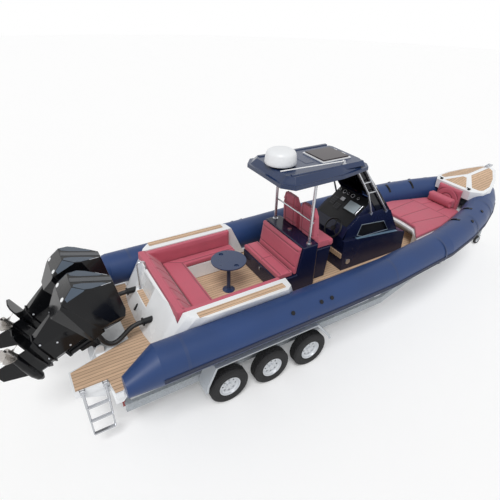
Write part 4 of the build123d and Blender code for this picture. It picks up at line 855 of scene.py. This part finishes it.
def baked(piece):
    """The piece's modifiers are taken into its mesh and dropped"""
    graph = bpy.context.evaluated_depsgraph_get()
    graph.update()
    mesh = bpy.data.meshes.new_from_object(piece.evaluated_get(graph))
    piece.modifiers.clear()
    piece.data = mesh


def points_of(mesh, what="co"):
    values = np.zeros(len(mesh.vertices) * 3)
    if what == "co":
        mesh.vertices.foreach_get("co", values)
    else:
        mesh.vertex_normals.foreach_get("vector", values)
    return values.reshape(-1, 3)


def inflate(piece, cap):
    """The pad swells as filled cloth does, and no point moves further than the cap"""
    rest = points_of(piece.data)
    cloth = piece.modifiers.new("filling", "CLOTH")
    cloth.settings.use_pressure = True
    cloth.settings.uniform_pressure_force = FILL_PRESSURE
    cloth.settings.effector_weights.gravity = 0
    cloth.settings.quality = 4
    cloth.point_cache.frame_start = 1
    cloth.point_cache.frame_end = FILL_FRAMES
    for number in range(1, FILL_FRAMES + 1):
        bpy.context.scene.frame_set(number)
    baked(piece)
    moved = points_of(piece.data) - rest
    far = np.linalg.norm(moved, axis=1)
    share = np.minimum(1.0, cap / np.maximum(far, 1e-9))
    piece.data.vertices.foreach_set("co", (rest + moved * share[:, None]).ravel())
    piece.data.update()
    bpy.context.scene.frame_set(1)


# A seam line is written on the cut face, and the padded face lies up to this far under it
SEAM_REACH = 0.008


def sew(piece, lines, depth, width=0.008):
    """Seams pull the face in along lines of points, and the mesh keeps how near each point lies to one"""
    mesh = piece.data
    places = points_of(mesh)
    outward = points_of(mesh, "normal")
    near = np.full(len(places), 1e3)
    for line in lines:
        for a, b in zip(line, line[1:]):
            a = np.array((AXLE_X + a[0], a[1], a[2]))
            run = np.array((AXLE_X + b[0], b[1], b[2])) - a
            along = np.clip((places - a) @ run / max(run @ run, 1e-9), 0, 1)
            near = np.minimum(near, np.linalg.norm(places - a - along[:, None] * run, axis=1) - SEAM_REACH)
    near = np.maximum(near, 0)
    pull = np.exp(-((near / width) ** 2))
    mesh.vertices.foreach_set("co", (places - outward * (pull * depth)[:, None]).ravel())
    # How near each point lies to a seam, which the vinyl uses for its painted seam shade
    mark = mesh.attributes.new("seam", "FLOAT", "POINT")
    mark.data.foreach_set("value", np.exp(-((near / (width * 0.55)) ** 2)).astype(np.float32))
    mesh.update()


def make_pad(name, bm, voxel, rounding, lines):
    """Cushion from a closed block: rounded, remeshed, swollen, refined and sewn"""
    cap = sizes().swell
    bmesh.ops.dissolve_limit(
        bm, angle_limit=math.radians(1), verts=bm.verts, edges=bm.edges, use_dissolve_boundaries=False
    )
    bmesh.ops.recalc_face_normals(bm, faces=bm.faces)
    bmesh.ops.bevel(
        bm,
        geom=list(bm.edges),
        offset=rounding,
        affect="EDGES",
        segments=4,
        profile=0.5,
        material=-1,
        clamp_overlap=True,
    )
    mesh = bpy.data.meshes.new(name)
    bm.to_mesh(mesh)
    bm.free()
    pad = bpy.data.objects.new(name, mesh)
    bpy.context.scene.collection.objects.link(pad)
    grid = pad.modifiers.new("even mesh", "REMESH")
    grid.mode = "VOXEL"
    grid.voxel_size = voxel
    baked(pad)
    places = points_of(pad.data) - points_of(pad.data, "normal") * cap * 0.55
    pad.data.vertices.foreach_set("co", places.ravel())
    pad.data.update()
    inflate(pad, cap)
    finer = pad.modifiers.new("finer mesh", "SUBSURF")
    finer.levels = 1
    finer.render_levels = 1
    baked(pad)
    sew(pad, lines, sizes().piping)
    pad.data.shade_smooth()
    pad.data.materials.clear()
    pad.data.materials.append(cushion_vinyl())
    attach(pad, ROOT)
    return pad


def pad_node(node, prefix, voxel, rounding, seams):
    """Each solid of a soft node becomes a pad, and the node is hidden when the first pad is made"""
    for number, bm in enumerate(node_shells(node)):
        pad = make_pad(f"{prefix}_{number + 1}", bm, voxel, rounding, seams)
        if number == 0:
            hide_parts(node)


class BOAT_OT_lounge(BoatOperator, bpy.types.Operator):
    """Aft lounge: the horseshoe seat, its sloped aft back and the two side backs"""

    bl_idname = "boat.lounge"
    bl_label = "Lounge cushions"

    def execute(self, context):
        inner = [(1.08, 0.603, 1.5), (0.048, 0.603, 1.5), (0.048, -0.603, 1.5), (1.08, -0.603, 1.5)]
        seams = [inner]
        for hand in (-1, 1):
            seams.append([(0.048, hand * 0.603, 1.5), (-0.262, hand * 0.778, 1.5)])
        pad_node("lounge_seat", "lounge_seat_pad", 0.013, 0.03, seams)
        seams = [[(-0.512, -0.85, 1.785), (-0.512, 0.85, 1.785)]]
        for y in (-0.58, -0.29, 0.0, 0.29, 0.58):
            seams.append([(-0.265, y, 1.49), (-0.5, y, 1.79)])
        for hand in (-1, 1):
            seams.append([(-0.5, hand * 0.8, 1.765), (1.08, hand * 0.8, 1.765)])
        pad_node("lounge_back", "lounge_back_pad", 0.012, 0.03, seams)
        return {"FINISHED"}


BENCH_HALF = 0.574


class BOAT_OT_bench(BoatOperator, bpy.types.Operator):
    """Bench cushions ahead of the table, on the seat module"""

    bl_idname = "boat.bench"
    bl_label = "Bench cushions"

    def execute(self, context):
        seams = []
        for x in (1.30, 1.48):
            seams.append([(x, -BENCH_HALF, 1.545), (x, BENCH_HALF, 1.545)])
        for z in (1.60, 1.88):
            x = 1.545 + (z - 1.445) * 0.159
            seams.append([(x, -BENCH_HALF, z), (x, BENCH_HALF, z)])
        seams.append([(1.23, 0, 1.545), (1.54, 0, 1.545)])
        pad_node("bench_cushions", "bench_pad", 0.010, 0.022, seams)
        return {"FINISHED"}


class BOAT_OT_helm_seats(BoatOperator, bpy.types.Operator):
    """The two helm seats with their tall panelled backs"""

    bl_idname = "boat.helm_seats"
    bl_label = "Helm seats"

    def execute(self, context):
        seams = []
        for y in (-0.245, 0.245):
            for z in (2.02, 2.34):
                seams.append([(1.974, y - 0.22, z), (1.974, y + 0.22, z)])
                seams.append([(2.08, y - 0.22, z), (2.08, y + 0.22, z)])
            for offset in (-0.12, 0.12):
                seams.append([(1.985, y + offset, 1.95), (1.963, y + offset, 2.52)])
                seams.append([(2.13, y + offset, 1.885), (2.035, y + offset, 2.52)])
        pad_node("helm_seats", "helm_seat_pad", 0.010, 0.024, seams)
        return {"FINISHED"}


class BOAT_OT_foredeck_pads(BoatOperator, bpy.types.Operator):
    """Sunpad, bow backrest and the loose box pillow"""

    bl_idname = "boat.foredeck_pads"
    bl_label = "Foredeck pads"

    def execute(self, context):
        seams = [[(5.62, -0.72, 1.52), (5.62, 0.72, 1.52)], [(4.68, 0, 1.52), (5.62, 0, 1.52)]]
        for hand in (-1, 1):
            seams.append([(4.66, hand * 0.30, 1.52), (5.62, hand * 0.42, 1.52)])
            seams.append([(5.62, hand * 0.2, 1.52), (6.12, hand * 0.14, 1.52)])
        pad_node("bow_sunpad", "sunpad", 0.016, 0.022, seams)
        seams = []
        for radius in (0.13, 0.25):
            arc = []
            for step in range(-6, 7):
                angle = math.radians(90 + step * 12)
                arc.append((6.15, radius * 1.1 * math.cos(angle), 1.62 + radius * math.sin(angle)))
            seams.append(arc)
        seams.append([(5.93, -0.24, 1.72), (5.93, 0.31, 1.72)])
        seams.append([(6.118, -0.24, 1.72), (6.118, 0.31, 1.72)])
        pad_node("bow_backrest", "bow_backrest_pad", 0.009, 0.024, seams)
        return {"FINISHED"}


# The collar's middle line is straight to BOW_START, then closes, and it rises from SHEER_START
TUBE_RADIUS = 0.28
TUBE_Y = 1.2
BOW_START = 3.05
BOW_LENGTH = 4.212
BOW_POWERS = (2.123, 1.463)
TUBE_Z = 1.349
SHEER_START = 0.85
SHEER_LENGTH = 6.412
SHEER_RISE = 0.294


def tube_centre(x):
    """Middle of the collar at a place along the boat, on the port side"""
    y = TUBE_Y
    if x > BOW_START:
        along, across = BOW_POWERS
        share = ((x - BOW_START) / BOW_LENGTH) ** (along / 2)
        y = TUBE_Y * max(0.0, 1 - share**2) ** (2 / across / 2)
    rise = SHEER_RISE * max(0.0, (x - SHEER_START) / SHEER_LENGTH) ** 2
    return Vector((x, y, TUBE_Z + rise))


def tube_matrix(x, hand):
    """Frame at the collar's middle: Z along it, X outboard, Y up"""
    centre = tube_centre(x)
    along = (tube_centre(x + 0.01) - tube_centre(x - 0.01)).normalized()
    outboard = Vector((along.y * -1, along.x, 0)).normalized()
    up = along.cross(outboard)
    if up.z < 0:
        up = -up
    matrix = Matrix((outboard, up, along)).transposed().to_4x4()
    matrix.translation = centre
    if hand < 0:
        matrix = Matrix.Scale(-1, 4, (0, 1, 0)) @ matrix
    return matrix


# Joints of the collar's panels, ahead of the rear axle
PANEL_JOINTS = (-0.7, 1.18, 3.05, 4.35, 5.55, 6.3)
TAPE_THICKNESS = 0.0015
# The tape goes from below the outboard side over the top, in degrees
TAPE_START = -62
TAPE_SWEEP = 190


class BOAT_OT_collar_trim(BoatOperator, bpy.types.Operator):
    """Glued tapes over the joints of the collar's panels"""

    bl_idname = "boat.collar_trim"
    bl_label = "Collar trim"

    def execute(self, context):
        base = tuple(value * 0.86 for value in shades().tube)
        finish = plain_finish("glued seam tape", base, 0.4, grain=200.0, amount=0.2)
        bm = bmesh.new()
        for hand in (-1, 1):
            for x in PANEL_JOINTS:
                self.band(bm, tube_matrix(x, hand))
        new_piece("seam_tapes", bm, finish, smooth=40)
        return {"FINISHED"}

    def band(self, bm, matrix):
        radius = TUBE_RADIUS + TAPE_THICKNESS
        half = sizes().tape / 2
        turn = Matrix.Rotation(math.radians(TAPE_START), 4, "Z")
        verts = [bm.verts.new((radius, 0, -half)), bm.verts.new((radius, 0, half))]
        edge = bm.edges.new(verts)
        for vert in verts:
            vert.co = turn @ vert.co
        before = set(bm.verts) - set(verts)
        bmesh.ops.spin(
            bm,
            geom=verts + [edge],
            cent=(0, 0, 0),
            axis=(0, 0, 1),
            dvec=(0, 0, 0),
            angle=math.radians(TAPE_SWEEP),
            steps=40,
            use_merge=False,
        )
        bmesh.ops.transform(bm, matrix=matrix, verts=[v for v in bm.verts if v not in before])


ENGINE_Y = 0.33
# Bolts on the leg's sides: ahead and up from the tilt axis
LEG_BOLTS = [(-0.34, -0.22), (-0.5, -0.3), (-0.62, -0.46), (-0.36, -0.52)]
LEG_SIDE = 0.092
# Outlines on the cowl: ahead, up and across from the tilt axis
SLATE_TOP = [
    (-1.105, 0.337, 0.152),
    (-1.028, 0.426, 0.222),
    (-0.968, 0.496, 0.207),
    (-0.83, 0.657, 0.112),
    (-0.87, 0.610, 0.085),
    (-1.03, 0.424, 0.085),
    (-1.095, 0.348, 0.105),
]
SLATE_CORNER = [
    (-1.112, 0.325, 0.164),
    (-1.026, 0.425, 0.230),
    (-1.02, 0.412, 0.235),
    (-1.02, 0.18, 0.235),
    (-1.055, 0.18, 0.207),
]
SILVER_LINE = [
    (-0.800, 0.692, 0.094),
    (-0.808, 0.684, 0.094),
    (-0.893, 0.584, 0.157),
    (-0.885, 0.592, 0.157),
]
TILT_AXIS = Vector((-1.6, 0, 1.23))


def engine_point(side, ahead, up, out):
    """Point of an engine from its tilt axis: along the leg's forward and upward lines and across"""
    forward = Vector((0.4067, 0, -0.9135))
    upward = Vector((0.9135, 0, 0.4067))
    return TILT_AXIS + forward * ahead + upward * up + Vector((0, side * ENGINE_Y + out, 0))


# Half profiles of the radome and its foot: distance from the middle and height
RADOME_X = 1.53
RADOME_SHELL = [
    (0.0, 3.452),
    (0.1, 3.45),
    (0.17, 3.44),
    (0.212, 3.417),
    (0.232, 3.385),
    (0.248, 3.27),
    (0.25, 3.245),
    (0.243, 3.232),
]
RADOME_FOOT = [(0.243, 3.232), (0.236, 3.224), (0.225, 3.2235), (0.195, 3.2235), (0.19, 3.2), (0.0, 3.2)]


class BOAT_OT_radome(BoatOperator, bpy.types.Operator):
    """Radome on its dark foot"""

    bl_idname = "boat.radome"
    bl_label = "Radome"

    def execute(self, context):
        white = plain_finish("white radome moulding", tint(234, 236, 238), 0.35, amount=0.06)
        for name, profile, finish in (
            ("radome_shell", RADOME_SHELL, white),
            ("radome_foot", RADOME_FOOT, black_moulding()),
        ):
            bm = bmesh.new()
            turned(bm, [(radius, 0, z) for radius, z in profile], 72)
            bmesh.ops.translate(bm, vec=(RADOME_X, 0, 0), verts=bm.verts)
            piece = new_piece(name, bm, finish, smooth=35)
            if name == "radome_shell":
                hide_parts("radar_dome")
        return {"FINISHED"}


class BOAT_OT_engine_trim(BoatOperator, bpy.types.Operator):
    """Grey panels, ridge strips, silver lines, badges and bolts of the two engines"""

    bl_idname = "boat.engine_trim"
    bl_label = "Engine trim"

    def execute(self, context):
        silver = plain_finish("silver pinstripe", tint(206, 210, 216), 0.3, metal=0.4)
        ridge = plain_finish("dark grey ridge strip", tint(50, 54, 60), 0.35, coat=0.3)
        for side, hand in SIDES:
            body = f"engine_{side}"
            panels = bmesh.new()
            strip = bmesh.new()
            lines = bmesh.new()
            for out in (-1, 1):
                self.plate(panels, hand, out, SLATE_TOP, 0.001)
                self.plate(panels, hand, out, SLATE_CORNER, 0.001)
                self.plate(lines, hand, out, SILVER_LINE, 0.002)
            self.ridge(strip, hand)
            new_piece(f"cowl_panels_{side}", panels, facet_paint(), body)
            new_piece(f"cowl_ridge_{side}", strip, ridge, body, bevel=0.002)
            new_piece(f"cowl_lines_{side}", lines, silver, body)
            bolts = bmesh.new()
            for ahead, up in LEG_BOLTS:
                for out in (-1, 1):
                    spot = engine_point(hand, ahead, up, out * LEG_SIDE)
                    disc(bolts, spot, (0, out, 0), 0.013, 0.008, 12)
            new_piece(f"leg_bolts_{side}", bolts, silver, body, smooth=30)
            badge = bmesh.new()
            aft = engine_point(hand, -0.93, -0.37, 0) - engine_point(hand, 0, 0, 0)
            for out in (-1, 1):
                disc(badge, engine_point(hand, -1.043, 0.145, out * 0.165), aft, 0.03, 0.006, 24)
            new_piece(f"cowl_badges_{side}", badge, gelcoat(), body, smooth=30)
        return {"FINISHED"}

    def plate(self, bm, hand, out, outline, lift):
        """Thin plate over flat faces of the cowl, on one side of it"""
        points = [engine_point(hand, ahead, up, out * across) for ahead, up, across in outline]
        normal = (points[1] - points[0]).cross(points[2] - points[0]).normalized()
        middle = sum(points, Vector()) / len(points)
        if normal.dot(middle - engine_point(hand, -0.6, 0.35, 0)) < 0:
            normal = -normal
        prism(bm, [point + normal * (lift - 0.004) for point in points], normal * 0.005)

    def ridge(self, bm, hand):
        """Strip up the middle of the aft slope and over the crown"""
        line = [(-1.113, 0.327), (-0.783, 0.712), (-0.345, 0.611), (-0.21, 0.5)]
        sides = []
        for out in (-0.045, 0.045):
            sides.append([bm.verts.new(engine_point(hand, ahead, up, out)) for ahead, up in line])
        for index in range(len(line) - 1):
            bm.faces.new((sides[0][index], sides[0][index + 1], sides[1][index + 1], sides[1][index]))
        bmesh.ops.recalc_face_normals(bm, faces=bm.faces)
        bmesh.ops.solidify(bm, geom=list(bm.faces), thickness=-0.004)


# The dash: its slope in degrees, its lower edge ahead of the rear axle and its height
DASH_SLOPE = math.radians(38.66)
DASH_X = 2.885
DASH_Z = 2.05
GAUGE_LIFT = 0.0212
GAUGE_ROW = 0.416
# Each gauge: place to starboard and radius
GAUGES = ((-0.33, 0.026), (-0.205, 0.04), (-0.109, 0.026), (0.011, 0.04), (0.15, 0.026))


class BOAT_OT_dashboard(BoatOperator, bpy.types.Operator):
    """Screens, gauges, bezels and switch rows on the sloped dash"""

    bl_idname = "boat.dashboard"
    bl_label = "Dashboard"

    def execute(self, context):
        screens = [(0.185, 0.225, 0.31, 0.224, 0.026), (-0.122, 0.276, 0.11, 0.084, 0.018)]
        pale = tinted_screen("lit chart screen", tint(176, 190, 196), 0.12)
        white = tinted_screen("small white display", tint(226, 230, 234), 0.12)
        names = ("chart_screen", "small_display")
        for (x, y, wide, high, lift), finish, name in zip(screens, (pale, white), names):
            bm = bmesh.new()
            self.plate(bm, x, y, wide * 0.88, high * 0.86, lift, 0.002)
            new_piece(name, bm, finish, bevel=0.0008)
        bezels = bmesh.new()
        faces = bmesh.new()
        for x, radius in GAUGES:
            spot = self.on_dash(x, GAUGE_ROW, GAUGE_LIFT)
            disc(bezels, spot, self.normal(), radius, 0.006, 28, radius * 0.82)
            disc(faces, spot, self.normal(), radius * 0.8, 0.002, 28)
        bright = plain_finish("bright gauge bezel", tint(222, 224, 228), 0.25, metal=0.3)
        new_piece("gauge_bezels", bezels, bright, smooth=30)
        new_piece("gauge_faces", faces, tinted_screen("gauge glass", tint(26, 28, 34)), smooth=30)
        switches = bmesh.new()
        for row in range(4):
            for column in range(3):
                x, y = -0.31 + column * 0.04, 0.11 + row * 0.045
                self.plate(switches, x, y, 0.026, 0.03, 0.012, 0.006)
                x, y = -0.165 + column * 0.045, 0.065 + row * 0.03
                self.plate(switches, x, y, 0.032, 0.018, 0.012, 0.006)
        caps = plain_finish("grey switch caps", tint(58, 60, 66), 0.4)
        new_piece("switch_banks", switches, caps, bevel=0.0015)
        return {"FINISHED"}

    def normal(self):
        return Vector((-math.sin(DASH_SLOPE), 0, math.cos(DASH_SLOPE)))

    def on_dash(self, x, y, lift):
        """Point of the dash from its lower edge: to starboard, up the slope and out from it"""
        ahead = DASH_X + math.cos(DASH_SLOPE) * y
        return Vector((ahead, -x, DASH_Z + math.sin(DASH_SLOPE) * y)) + self.normal() * lift

    def plate(self, bm, x, y, wide, high, lift, thick):
        corners = ((-1, -1), (1, -1), (1, 1), (-1, 1))
        points = [self.on_dash(x + a * wide / 2, y + b * high / 2, lift) for a, b in corners]
        prism(bm, points, self.normal() * thick)


# The console's sloped ledge: height at its start, where it starts, and fall for each metre ahead
LEDGE_Z = 1.7535
LEDGE_START = 2.665
LEDGE_FALL = 0.1064
# Outline of the recess in the console's side: ahead and height
CONSOLE_RECESS = [(3.020, 1.760), (3.090, 1.960), (3.660, 1.900), (3.820, 1.680), (3.160, 1.700)]


class BOAT_OT_console_trim(BoatOperator, bpy.types.Operator):
    """Painted highlights on the ledges, and rimmed recesses with painted shade at their backs, on the sides
    of the console
    """

    bl_idname = "boat.console_trim"
    bl_label = "Console trim"

    def execute(self, context):
        # Pale blue-grey that paints the light caught by the tops of the console's dark ledges
        pale = plain_finish("console ledge painted highlight", tint(104, 130, 152), 0.3, amount=0.15)
        rim = plain_finish("grey recess rim", tint(120, 132, 142), 0.35, amount=0.15)
        # Near-black that paints the shade inside the console's recesses
        recess = plain_finish("painted recess shade", tint(10, 11, 16), 0.5, amount=0.3, specular=0.25)
        ledge_highlights = bmesh.new()
        rims = bmesh.new()
        backs = bmesh.new()
        for hand in (-1, 1):
            points = []
            for x, across in ((2.98, 0.444), (4.05, 0.444), (4.05, 0.496), (2.98, 0.496)):
                points.append((x, hand * across, LEDGE_Z - (x - LEDGE_START) * LEDGE_FALL))
            # Painted highlight: a thin pale plate laid on each ledge
            prism(ledge_highlights, points, (0, 0, 0.004))
            loop = [(x, hand * 0.441, z) for x, z in CONSOLE_RECESS]
            tube_along(rims, loop + loop[:2], 0.007, 8)
            # Painted shade: a black plate set at the back of each recess
            prism(backs, [(x, hand * 0.406, z) for x, z in CONSOLE_RECESS], (0, hand * 0.002, 0))
        new_piece("console_ledge_highlights", ledge_highlights, pale, bevel=0.001)
        new_piece("console_recess_rims", rims, rim, smooth=40)
        new_piece("console_recess_shade_plates", backs, recess)
        return {"FINISHED"}


class BOAT_PT_panel(bpy.types.Panel):
    """Colours, sizes and the steps that make the boat"""

    bl_idname = "BOAT_PT_panel"
    bl_label = "Boat"
    bl_space_type = "VIEW_3D"
    bl_region_type = "UI"
    bl_category = "Boat"

    def draw(self, context):
        for group in (shades(), sizes()):
            box = self.layout.box()
            for name in group.__annotations__:
                box.prop(group, name)
        for step in STEPS:
            self.layout.operator(step.bl_idname)


STEPS = (
    BOAT_OT_stage,
    BOAT_OT_hoses,
    BOAT_OT_finishes,
    BOAT_OT_lounge,
    BOAT_OT_bench,
    BOAT_OT_helm_seats,
    BOAT_OT_foredeck_pads,
    BOAT_OT_collar_trim,
    BOAT_OT_radome,
    BOAT_OT_engine_trim,
    BOAT_OT_dashboard,
    BOAT_OT_console_trim,
)
CLASSES = (BoatColours, BoatSizes, *STEPS, BOAT_PT_panel)


def register():
    for made in CLASSES:
        bpy.utils.register_class(made)
    bpy.types.Scene.boat_colours = bpy.props.PointerProperty(type=BoatColours)
    bpy.types.Scene.boat_sizes = bpy.props.PointerProperty(type=BoatSizes)


def unregister():
    del bpy.types.Scene.boat_sizes
    del bpy.types.Scene.boat_colours
    for made in reversed(CLASSES):
        bpy.utils.unregister_class(made)


def main():
    register()
    for step in STEPS:
        group, name = step.bl_idname.split(".")
        getattr(getattr(bpy.ops, group), name)()


if __name__ == "__main__":
    main()
